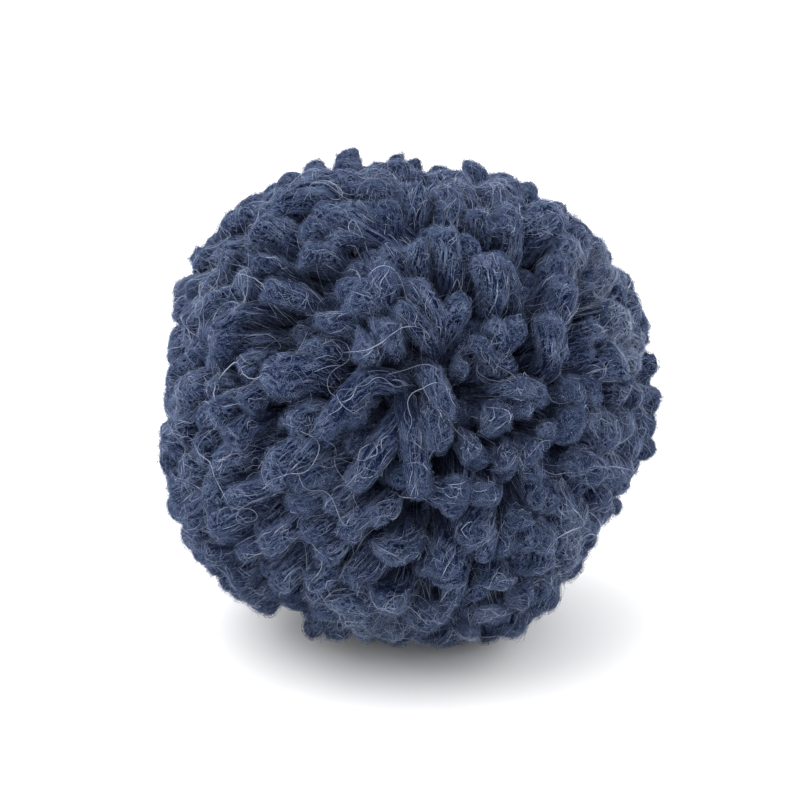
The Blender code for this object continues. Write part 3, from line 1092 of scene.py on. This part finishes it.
class PomPomColours(bpy.types.PropertyGroup):
    """Colours of the yarn."""

    yarn: colour_property("Yarn", "The yarn's own colour", (0.0095, 0.0157, 0.0420))
    # Partly painted: the yarn shade is the shade between its fibres, and the yarn light the light caught by
    # fibres on top; the yarn light is also the low end of the loose strays' colours.
    yarn_fibre_shade: colour_property("Yarn shade", "Between its fibres", (0.0038, 0.0060, 0.0235))
    yarn_light: colour_property("Yarn light", "Fibres that lie on top", (0.032, 0.048, 0.101))
    fibre: colour_property("Fibre", "Single fibres on the yarn", (0.034, 0.053, 0.116))
    stray: colour_property("Stray fibre", "Long pale fibres over the pile", (0.450, 0.515, 0.665))
    mat: colour_property("Mat", "Long fibres of the matted spots", (0.250, 0.292, 0.390))
    haze: colour_property("Haze", "The finest fibres, off the yarn", (0.141, 0.180, 0.289))
    # Painted shade: a dark purple for the shade deep in the pile between the ends, mixed into the yarn there
    # and into the packed middle.
    deep: colour_property("Deep pile", "Packed yarn between the ends", (0.017, 0.014, 0.031))
    glow: colour_property("Glow", "Light caught at the yarn's edges", (0.35, 0.45, 0.75))
    sheen: bpy.props.FloatProperty(
        name="Sheen",
        description="Soft light at the fibres' edges",
        default=0.35,
        subtype="FACTOR",
        min=0.0,
        max=1.0,
    )


# ---------------------------------------------------------------- operators


def main_pile(sizes):
    """The yarn ends that show."""
    random = np.random.default_rng(SEEDS["yarn ends"])
    directions, reaches = pile_ends(sizes.ends)
    reaches = reaches - sizes.haze
    straight = lean_lines(directions, reaches)
    widths = sizes.end_width * random.normal(1, 0.15, len(straight)).clip(0.65, 1.4)
    lines = swayed(straight, sizes.sway, 1.2 * sizes.sway, random)
    front_lines = np.array([front_line(*pair) for pair in zip(FRONT_ENDS, reaches[FRONT_PLACES])])
    lines = round_gaps(under_front_ends(lines, front_lines, FRONT_CLEARANCE * sizes.end_width))
    lines[FRONT_PLACES] = swayed(front_lines, 0, 0.25 * sizes.sway, random)
    lines[RIM_PLACES] = straight[RIM_PLACES]
    widths[FRONT_PLACES] = [row[6] * MM for row in FRONT_ENDS]
    widths[RIM_PLACES] = [row[2] * MM for row in RIM_ENDS]
    widths[: FRONT_PLACES.stop] -= HAZE_SHOWN * sizes.haze
    return Pile(lines, widths, YARN_TWIST, random)


def roomy_places(taken, count):
    """Places on the ball, each the one with the most room left, and how much room the taken ones leave it.
    None lies in a deep gap or in the notch."""
    places = spiral(DEEP_PLACES)
    gaps = front_places(DARK_GAPS)
    edges = np.array([row[2] for row in DARK_GAPS]) * MM + GAP_EDGE / 2
    in_gap = (np.linalg.norm(places[:, None] - gaps[None], axis=2) * BALL_RADIUS < edges).any(axis=1)
    places = places[~in_gap & ~in_notch(places)]
    room = np.linalg.norm(places[:, None] - taken[None], axis=2).min(axis=1)
    left = room.copy()
    picked = np.empty(count, int)
    for number in range(count):
        picked[number] = left.argmax()
        left = np.minimum(left, np.linalg.norm(places - places[picked[number]], axis=1))
    return places[picked], room[picked] * BALL_RADIUS


def deep_pile(sizes):
    """Shorter yarn ends, which fill the gaps between the others. Those with more room come further out."""
    random = np.random.default_rng(SEEDS["short ends"])
    main = main_pile(sizes).lines
    taken = np.concatenate([unit(main[:, -1]), unit(main[:, BELOW_CUT]), front_bodies()])
    directions, room = roomy_places(taken, sizes.deep_ends)
    rooms, depths = np.array(DEEP_DEPTHS).T * MM
    uneven = random.uniform(-DEEP_UNEVEN, DEEP_UNEVEN, len(directions))
    reaches = outline_reach(directions) - np.interp(room, rooms, depths) - uneven
    lines = swayed(lean_lines(directions, reaches), sizes.sway, sizes.sway, random)
    lines = under_front_ends(lines, main[FRONT_PLACES], FRONT_CLEARANCE * sizes.end_width)
    widths = sizes.end_width * random.normal(1, 0.1, len(lines)).clip(0.75, 1.3)
    return Pile(round_gaps(lines), widths, YARN_TWIST, random)


def skin(pile, body_rings, cap_rings, sides, lift=0.0):
    """Rings of corners on the yarn ends, or lifted off them: along the body, then round the cut."""
    body = SKIN_START + (pile.round_from[:, None] - SKIN_START) * np.linspace(0, 1, body_rings)[None]
    closing = np.linspace(0, math.pi / 2, cap_rings + 1)[1:]
    cap = pile.round_from[:, None] + (1 - pile.round_from[:, None]) * np.sin(closing)[None]
    along = np.concatenate([body[:, :1], body, cap], axis=1)
    tilt = np.concatenate([np.zeros(body_rings + 1), closing])[None, :, None]
    share = np.repeat(along[..., None], sides, axis=2)
    which = np.broadcast_to(np.arange(len(along))[:, None, None], share.shape)
    angle = np.broadcast_to((np.arange(sides) * 2 * math.pi / sides)[None, None], share.shape)
    points = pile.surface(which, share, angle, lift * np.cos(tilt))
    return points + (lift * np.sin(tilt))[..., None] * pile.ahead[:, -1][:, None, None]


class POMPOM_OT_packed_middle(bpy.types.Operator):
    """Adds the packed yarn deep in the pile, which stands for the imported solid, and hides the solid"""

    bl_idname = "pompom.packed_middle"
    bl_label = "Packed middle"

    # How far it reaches, and how deep its waves are, as shares of the core's radius.
    REACH, WAVE_DEPTH = 1.12, 0.02

    def execute(self, context):
        bpy.ops.mesh.primitive_ico_sphere_add(subdivisions=5, radius=1.0, location=(0, 0, 0))
        piece = context.active_object
        piece.name = piece.data.name = "packed_middle"
        points = np.empty(len(piece.data.vertices) * 3)
        piece.data.vertices.foreach_get("co", points)
        points = points.reshape(-1, 3)
        x, y, z = points.T
        waves = self.WAVE_DEPTH * np.sin(40 * x) * np.sin(43 * y + 17 * z)
        points = off_floor(unit(points) * (CORE_RADIUS * (self.REACH + waves))[:, None])
        piece.data.vertices.foreach_set("co", points.ravel())
        piece.data.shade_smooth()
        piece.data.materials.append(middle_material(context.scene.pompom_colours))
        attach(piece, BODY)
        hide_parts(NODE)
        return {"FINISHED"}


class POMPOM_OT_yarn_ends(bpy.types.Operator):
    """Adds the yarn ends that show, each with its own twist, lumps and cut"""

    bl_idname = "pompom.yarn_ends"
    bl_label = "Yarn ends"

    def execute(self, context):
        scene = context.scene
        pile = main_pile(scene.pompom_sizes)
        cells = cells_for(len(pile.lines))
        material = yarn_material("yarn_end", scene.pompom_colours, cells)
        piece = rods("yarn_ends", skin(pile, body_rings=6, cap_rings=6, sides=10), material, cells)
        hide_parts(NODE)
        return {"FINISHED"}


class POMPOM_OT_short_ends(bpy.types.Operator):
    """Adds the shorter yarn ends, which show between the others"""

    bl_idname = "pompom.short_ends"
    bl_label = "Short ends"

    HAZE_COVER = 0.05

    def execute(self, context):
        scene = context.scene
        pile = deep_pile(scene.pompom_sizes)
        cells = cells_for(len(pile.lines))
        # Painted shade: the short ends, deeper in the pile, have their colours darkened.
        material = yarn_material("short_yarn_end", scene.pompom_colours, cells, SHORT_END_SHADE_KEEP)
        rods("short_ends", skin(pile, body_rings=3, cap_rings=4, sides=8), material, cells)
        material = haze_material("short_end_haze", scene.pompom_colours, cells, self.HAZE_COVER)
        hazy = skin(pile, body_rings=3, cap_rings=3, sides=7, lift=scene.pompom_sizes.haze)
        rods("short_end_haze", hazy, material, cells)
        return {"FINISHED"}


def outer_angle(pile):
    """For each yarn end: the angle of its side that faces out of the ball, and how much it leans."""
    out = unit(pile.lines[:, -1])
    side, across = pile.side[:, NEAR_CUT], pile.across[:, NEAR_CUT]
    lean = np.linalg.norm(np.cross(out, pile.ahead[:, NEAR_CUT]), axis=1)
    return np.arctan2((out * across).sum(axis=1), (out * side).sum(axis=1)), lean


class FibreCoat(NamedTuple):
    """How a coat of fibres lies on the yarn ends."""

    parts: int  # pieces that it is added in
    seed: int  # for what is left to chance
    length: tuple  # of a fibre, in mm
    steps: int  # points along it
    lift: float  # how far above the yarn it lies at most, in mm
    bow: tuple  # how far its middle stands off, in mm
    rise: float  # how far its tip stands off at most, in mm
    wander: tuple  # how far it strays round the yarn end, straight and in a bend, in radians
    finish: float  # how far below the cut it ends at most, as a share of the yarn end's length
    flyaways: float  # how many of them stand well off


COMBED = FibreCoat(2, SEEDS["combed"], (2.6, 5.6), 5, 0.30, (0.02, 0.22), 0.10, (0.34, 0.36), 0.56, 0.12)
FLUFF = FibreCoat(1, SEEDS["fluff"], (1.2, 3.0), 4, 0.12, (0.05, 0.35), 0.40, (0.80, 0.60), 0.36, 0.30)

# Clumps round each yarn end, which half of its fibres keep to.
CLUMPS = 9

# Cells each way of the map of the fine fibres, and of the strays. Past them, fibres share a cell.
FIBRE_CELLS, STRAY_CELLS = 48, 32


def coat_paths(pile, ends, per_end, coat, random):
    """Paths of fibres that lie along yarn ends in small clumps, wound round with the twist."""
    which = np.repeat(ends, per_end)
    count = len(which)
    outer, lean = outer_angle(pile)
    clumps = random.uniform(0, 2 * math.pi, (len(pile.lines), CLUMPS))
    middle = clumps[which, random.integers(0, CLUMPS, count)]
    angle = np.where(random.random(count) < 0.5, middle, random.uniform(0, 2 * math.pi, count))
    facing = outer[which] - pile.twist[which] * 0.85 + random.normal(0, 1.0, count)
    outward = random.random(count) < 1.3 * lean[which]
    angle = np.where(outward, facing, angle) + random.normal(0, 0.14, count)
    length = random.uniform(*coat.length, count) * MM / pile.length[which]
    finish = 1.04 - random.beta(1.0, 1.7, count) * coat.finish
    step = np.linspace(0, 1, coat.steps)[None] ** 0.8
    share = (finish - length)[:, None] + length[:, None] * step
    along, bent = coat.wander
    wander = random.normal(0, along, (count, 1)) * step
    wander = wander + random.normal(0, bent, (count, 1)) * np.sin(math.pi * step)
    turned = angle[:, None] + pile.twist[which][:, None] * share + wander
    flyaway = random.random((count, 1)) < coat.flyaways
    bow = np.where(flyaway, random.uniform(0.2, 0.9, (count, 1)), random.uniform(*coat.bow, (count, 1)))
    rest = 0.03 + coat.lift * random.beta(1.0, 2.2, (count, 1))
    rise = coat.rise * random.random((count, 1)) * np.where(flyaway, 2, 1)
    lift = (rest + bow * np.sin(math.pi * step * 0.8) ** 2 + rise * step**2) * MM
    cap = 1 - pile.round_from[which][:, None]
    leave = 1 - cap * random.beta(1.2, 2.5, (count, 1))
    return pile.surface(np.broadcast_to(which[:, None], share.shape), share, turned, lift, leave)


def add_coat(name, coat, per_end, width, material, pile):
    """Adds a coat of fibres to the yarn ends, in a few pieces."""
    random = np.random.default_rng(coat.seed)
    for part in range(coat.parts):
        ends = np.arange(part, len(pile.lines), coat.parts)
        paths = coat_paths(pile, ends, per_end, coat, random)
        half = width / 2 * random.uniform(0.6, 1.25, len(paths))
        rods(f"{name}_{part + 1}", thin_rings(paths, half), material, FIBRE_CELLS)


class POMPOM_OT_combed_fibres(bpy.types.Operator):
    """Adds the fibres that lie combed along the yarn ends"""

    bl_idname = "pompom.combed_fibres"
    bl_label = "Combed fibres"

    def execute(self, context):
        sizes, colours = context.scene.pompom_sizes, context.scene.pompom_colours
        material = fibre_material("combed_fibre", colours, FIBRE_CELLS, colours.fibre, colours.stray)
        add_coat("combed_fibres", COMBED, sizes.combed, sizes.fibre_width, material, main_pile(sizes))
        return {"FINISHED"}


class POMPOM_OT_fluff(bpy.types.Operator):
    """Adds the short fluff that stands off the yarn ends"""

    bl_idname = "pompom.fluff"
    bl_label = "Fluff"

    # How thick its fibres are, as a share of the combed ones.
    THICKNESS = 0.8

    def execute(self, context):
        sizes, colours = context.scene.pompom_sizes, context.scene.pompom_colours
        material = fibre_material("fluff_fibre", colours, FIBRE_CELLS, colours.fibre, colours.stray)
        width = self.THICKNESS * sizes.fibre_width
        add_coat("fluff", FLUFF, sizes.fluff, width, material, main_pile(sizes))
        return {"FINISHED"}


class POMPOM_OT_haze(bpy.types.Operator):
    """Adds the haze of the finest fibres, close round each yarn end"""

    bl_idname = "pompom.haze"
    bl_label = "Haze"

    # Layers of the haze. Columns: name; how many times the size of the haze it stands off; its cover.
    LAYERS = (("haze_inner", 0.6, 0.042), ("haze_outer", 1.6, 0.024))

    def execute(self, context):
        sizes, colours = context.scene.pompom_sizes, context.scene.pompom_colours
        pile = main_pile(sizes)
        cells = cells_for(len(pile.lines))
        for name, lift, cover in self.LAYERS:
            material = haze_material(name, colours, cells, cover)
            hazy = skin(pile, body_rings=4, cap_rings=4, sides=8, lift=lift * sizes.haze)
            rods(name, hazy, material, cells)
        return {"FINISHED"}


def pile_heights(tree, directions):
    """How far the pile reaches in each direction."""
    heights = np.empty(len(directions))
    far = 0.1
    for number, direction in enumerate(directions):
        origin = Vector(MIDDLE + direction * far)
        hit = tree.ray_cast(origin, Vector(-direction), far)
        heights[number] = far - hit[3] if hit[3] is not None else CORE_RADIUS
    return heights


# The share of the fuzz and of the strays that lies in the mats.
MATTED_SHARE = 0.55

# How a wandering fibre bends: how much of its bend it keeps from one step to the next, how much is new,
# and the most that it turns in a step, in radians.
BEND_KEPT, BEND_NEW = 0.80, 0.55
MOST_TURN = 0.42

# How far a fibre may sink below its neighbours' heights when it bridges a gap, in one round of smoothing.
BRIDGE_SAG = 0.05 * MM


def wandering(count, steps, length, curl, starts, random):
    """Directions along fibres that wander over the ball: a walk with a slowly changing curl."""
    step = length[:, None] / (steps - 1) / BALL_RADIUS
    heading = random.uniform(0, 2 * math.pi, count)
    curl = curl * random.uniform(0.4, 2.6, count)
    bend = random.normal(0, 1, count) * curl
    places = [starts]
    side = unit(np.cross(starts, unit(random.normal(0, 1, (count, 3)))))
    ahead = np.cos(heading)[:, None] * side + np.sin(heading)[:, None] * np.cross(starts, side)
    for _ in range(steps - 1):
        bend = BEND_KEPT * bend + BEND_NEW * random.normal(0, 1, count) * curl
        here = places[-1]
        turn = (bend * step[:, 0]).clip(-MOST_TURN, MOST_TURN)[:, None]
        ahead = unit(np.cos(turn) * ahead + np.sin(turn) * np.cross(here, ahead))
        there = unit(here + ahead * step)
        ahead = unit(ahead - (ahead * there).sum(axis=1, keepdims=True) * there)
        places.append(there)
    return np.stack(places, axis=1)


def draped(tree, directions, lift, smooth):
    """Points over the pile along directions: on its surface, bridging its gaps, and lifted. smooth is how
    many rounds of smoothing bridge the gaps."""
    count, steps = directions.shape[:2]
    heights = pile_heights(tree, directions.reshape(-1, 3)).reshape(count, steps)
    for _ in range(smooth):
        spread = heights.copy()
        spread[:, 1:-1] = (heights[:, :-2] + heights[:, 2:]) / 2
        spread[:, 0], spread[:, -1] = heights[:, 1], heights[:, -2]
        heights = np.maximum(heights, spread - BRIDGE_SAG)
    for _ in range(2):
        heights[:, 1:-1] = (heights[:, :-2] + 2 * heights[:, 1:-1] + heights[:, 2:]) / 4
    return directions * (heights + lift)[..., None]


def pile_tree():
    """The yarn ends, for rays."""
    piece = bpy.data.objects["yarn_ends"]
    graph = bpy.context.evaluated_depsgraph_get()
    return BVHTree.FromObject(piece, graph)


def stray_starts(count, random):
    """Where fibres start, and whether each lies in a mat. Those that don't are spread all over."""
    starts = unit(random.normal(0, 1, (count, 3)))
    spots = front_places(MATTED_SPOTS)
    which = random.integers(0, len(spots), count)
    spread = np.array([row[2] for row in MATTED_SPOTS])[which]
    near = unit(spots[which] + random.normal(0, 1, (count, 3)) * spread[:, None])
    matted = random.random(count) < MATTED_SHARE
    return np.where(matted[:, None], near, starts), matted


def drawn(row, steps):
    """Directions along a stray fibre of the front, smooth through its points."""
    points = front_places(row)
    place = np.linspace(0, len(points) - 1, steps)
    low = np.minimum(place.astype(int), len(points) - 2)
    part = (place - low)[:, None]
    start, end = points[low], points[low + 1]
    before, after = points[np.maximum(low - 1, 0)], points[np.minimum(low + 2, len(points) - 1)]
    bent = 2 * before - 5 * start + 4 * end - after + part * (3 * (start - end) + after - before)
    return unit(start + part / 2 * (end - before + part * bent))


class POMPOM_OT_fuzz(bpy.types.Operator):
    """Adds short curly fibres all over the ball"""

    bl_idname = "pompom.fuzz"
    bl_label = "Fuzz"

    # A fibre: its points; the least and the most length, in mm; how much it curls.
    STEPS = 5
    LENGTHS = (2.0, 5.0)
    CURL = 30.0

    def execute(self, context):
        scene = context.scene
        sizes, colours = scene.pompom_sizes, scene.pompom_colours
        random = np.random.default_rng(SEEDS["fuzz"])
        starts, matted = stray_starts(sizes.fuzz, random)
        length = random.uniform(*self.LENGTHS, sizes.fuzz) * MM
        directions = wandering(sizes.fuzz, self.STEPS, length, self.CURL, starts, random)
        step = np.linspace(0, 1, self.STEPS)[None]
        rise = random.exponential(0.45, sizes.fuzz).clip(0, 2.2) * np.where(matted, 0.7, 1.0) * MM
        paths = draped(pile_tree(), directions, 0.06 * MM + rise[:, None] * step**1.5, 1)
        half = sizes.fibre_width / 2 * random.uniform(0.5, 0.95, sizes.fuzz)
        for name, chosen, low in (("fuzz", ~matted, colours.fibre), ("mat_fuzz", matted, colours.haze)):
            material = fibre_material(name, colours, FIBRE_CELLS, low, colours.stray)
            rods(name, thin_rings(paths[chosen], half[chosen]), material, FIBRE_CELLS)
        return {"FINISHED"}


class POMPOM_OT_strays(bpy.types.Operator):
    """Adds the long pale fibres that curl over the pile"""

    bl_idname = "pompom.strays"
    bl_label = "Stray fibres"

    # A fibre: its points; the least and the most length, in mm, and how much it curls, where it lies in a
    # mat and where it is loose; and how many rounds of smoothing take it over the gaps.
    STEPS = 25
    MAT_LENGTHS, LOOSE_LENGTHS = (6, 16), (6, 45)
    MAT_CURL, LOOSE_CURL = 32.0, 15.0
    BRIDGING = 6

    # Half width of the front's own strays, as a share of the width of the others.
    FRONT_HALF = 0.45

    def execute(self, context):
        scene = context.scene
        sizes, colours = scene.pompom_sizes, scene.pompom_colours
        random = np.random.default_rng(SEEDS["strays"])
        starts, matted = stray_starts(sizes.strays, random)
        loose = random.gamma(3.0, 5.5, sizes.strays).clip(*self.LOOSE_LENGTHS)
        length = np.where(matted, random.uniform(*self.MAT_LENGTHS, sizes.strays), loose) * MM
        curl = np.where(matted, self.MAT_CURL, self.LOOSE_CURL)
        directions = wandering(sizes.strays, self.STEPS, length, curl, starts, random)
        step = np.linspace(0, 1, self.STEPS)[None]
        beat = random.uniform(4, 14, (sizes.strays, 1))
        wave = np.sin(step * beat + random.uniform(0, 6, (sizes.strays, 1)))
        lift = (0.12 + 0.22 * (1 + wave)) * MM
        paths = draped(pile_tree(), directions, lift, self.BRIDGING)
        half = sizes.stray_width / 2 * np.where(matted, 0.8, 1.0) * random.uniform(0.6, 1.1, sizes.strays)
        kinds = (("stray_fibres", ~matted, colours.yarn_light), ("mat_fibres", matted, colours.mat))
        for name, chosen, low in kinds:
            material = fibre_material(name, colours, STRAY_CELLS, low, colours.stray)
            rods(name, thin_rings(paths[chosen], half[chosen]), material, STRAY_CELLS)
        directions = np.array([drawn(row, self.STEPS) for row in FRONT_STRAYS])
        paths = draped(pile_tree(), directions, 0.3 * MM, self.BRIDGING)
        cells = cells_for(len(paths))
        material = fibre_material("front_stray", colours, cells, colours.stray, colours.stray)
        rods("front_strays", thin_rings(paths, self.FRONT_HALF * sizes.stray_width), material, cells)
        return {"FINISHED"}


class POMPOM_OT_stage(bpy.types.Operator):
    """Adds the pale floor, the soft lights and the camera"""

    bl_idname = "pompom.stage"
    bl_label = "Stage"

    # The view: a picture is FRAME_WIDTH across at the ball, and the ball is a little right of its middle.
    SENSOR = 36.0
    FRAME_WIDTH = 144.0 * MM
    AIM_RIGHT, AIM_UP = -0.6 * MM, 0.1 * MM

    # Soft light from all round, and how much stronger it is from behind the ball than from the side.
    DAYLIGHT, BACKDROP = 1.60, 0.70

    # Lights. Columns: name; place from the ball, right, up and ahead, in m; width, in m; power, in W.
    LIGHTS = (
        ("key_light", -0.45, 0.85, 0.35, 1.4, 8.5),
        ("left_edge_light", -0.95, 0.30, -0.05, 1.2, 5.0),
        ("right_edge_light", 0.95, 0.35, -0.20, 1.2, 4.5),
    )

    def execute(self, context):
        scene = context.scene
        bpy.ops.mesh.primitive_plane_add(size=8.0, location=(0, 0, 0))
        floor = context.active_object
        floor.name = floor.data.name = "floor"
        material = bpy.data.materials.new("pale_floor")
        material.use_nodes = True
        shader = material.node_tree.nodes["Principled BSDF"]
        shader.inputs["Base Color"].default_value = (0.94, 0.94, 0.94, 1.0)
        shader.inputs["Roughness"].default_value = 0.9
        shader.inputs["Specular IOR Level"].default_value = 0.0
        floor.data.materials.append(material)
        floor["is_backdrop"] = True

        world = bpy.data.worlds.new("soft_daylight")
        world.use_nodes = True
        tree = world.node_tree
        backdrop = tree.nodes["Background"]
        backdrop.inputs["Color"].default_value = (1.0, 1.0, 1.0, 1.0)
        toward = node(tree, "ShaderNodeTexCoord")
        values = {0: toward, 1: tuple(-FRONT)}
        behind = node(tree, "ShaderNodeVectorMath", {"operation": "DOT_PRODUCT"}, values, 1)
        connect(backdrop, "Strength", self.DAYLIGHT + self.BACKDROP * behind)
        scene.world = world

        for name, right, up, ahead, width, power in self.LIGHTS:
            light = bpy.data.lights.new(name, "AREA")
            light.shape = "DISK"
            light.size = width
            light.energy = power
            lamp = bpy.data.objects.new(name, light)
            offset = Vector(right * RIGHT + up * UP + ahead * FRONT)
            lamp.location = Vector(MIDDLE) + offset
            lamp.rotation_euler = (-offset).to_track_quat("-Z", "Y").to_euler()
            scene.collection.objects.link(lamp)

        camera = bpy.data.cameras.new("camera")
        camera.lens = self.SENSOR * VIEW_DISTANCE / self.FRAME_WIDTH
        camera.sensor_width = self.SENSOR
        camera.clip_start = 0.01
        eye = bpy.data.objects.new("camera", camera)
        aim = MIDDLE + self.AIM_RIGHT * RIGHT + self.AIM_UP * UP
        eye.location = Vector(aim + FRONT * VIEW_DISTANCE)
        eye.rotation_euler = Vector(-FRONT).to_track_quat("-Z", "Y").to_euler()
        scene.collection.objects.link(eye)
        scene.camera = eye
        scene.view_settings.view_transform = "Standard"
        return {"FINISHED"}


class POMPOM_PT_panel(bpy.types.Panel):
    """Sizes, colours and pieces of the pom pom"""

    bl_label = "Pom pom"
    bl_idname = "POMPOM_PT_panel"
    bl_space_type = "VIEW_3D"
    bl_region_type = "UI"
    bl_category = "Pom pom"

    def draw(self, context):
        for group in (context.scene.pompom_sizes, context.scene.pompom_colours):
            for name in group.__annotations__:
                self.layout.prop(group, name)
        for operator in OPERATORS:
            self.layout.operator(operator.bl_idname)


OPERATORS = (
    POMPOM_OT_packed_middle,
    POMPOM_OT_yarn_ends,
    POMPOM_OT_short_ends,
    POMPOM_OT_combed_fibres,
    POMPOM_OT_fluff,
    POMPOM_OT_haze,
    POMPOM_OT_fuzz,
    POMPOM_OT_strays,
    POMPOM_OT_stage,
)
CLASSES = (PomPomSizes, PomPomColours, *OPERATORS, POMPOM_PT_panel)


def register():
    for item in CLASSES:
        bpy.utils.register_class(item)
    bpy.types.Scene.pompom_sizes = bpy.props.PointerProperty(type=PomPomSizes)
    bpy.types.Scene.pompom_colours = bpy.props.PointerProperty(type=PomPomColours)


def unregister():
    del bpy.types.Scene.pompom_colours
    del bpy.types.Scene.pompom_sizes
    for item in reversed(CLASSES):
        bpy.utils.unregister_class(item)


def main():
    """Builds every piece in order."""
    register()
    bpy.ops.pompom.packed_middle()
    bpy.ops.pompom.yarn_ends()
    bpy.ops.pompom.short_ends()
    bpy.ops.pompom.combed_fibres()
    bpy.ops.pompom.fluff()
    bpy.ops.pompom.haze()
    bpy.ops.pompom.fuzz()
    bpy.ops.pompom.strays()
    bpy.ops.pompom.stage()
    boxes = {"cad": CAD_BOX, "visual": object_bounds()}
    boxes = {name: [[float(x) for x in corner] for corner in box] for name, box in boxes.items()}


if __name__ == "__main__":
    main()
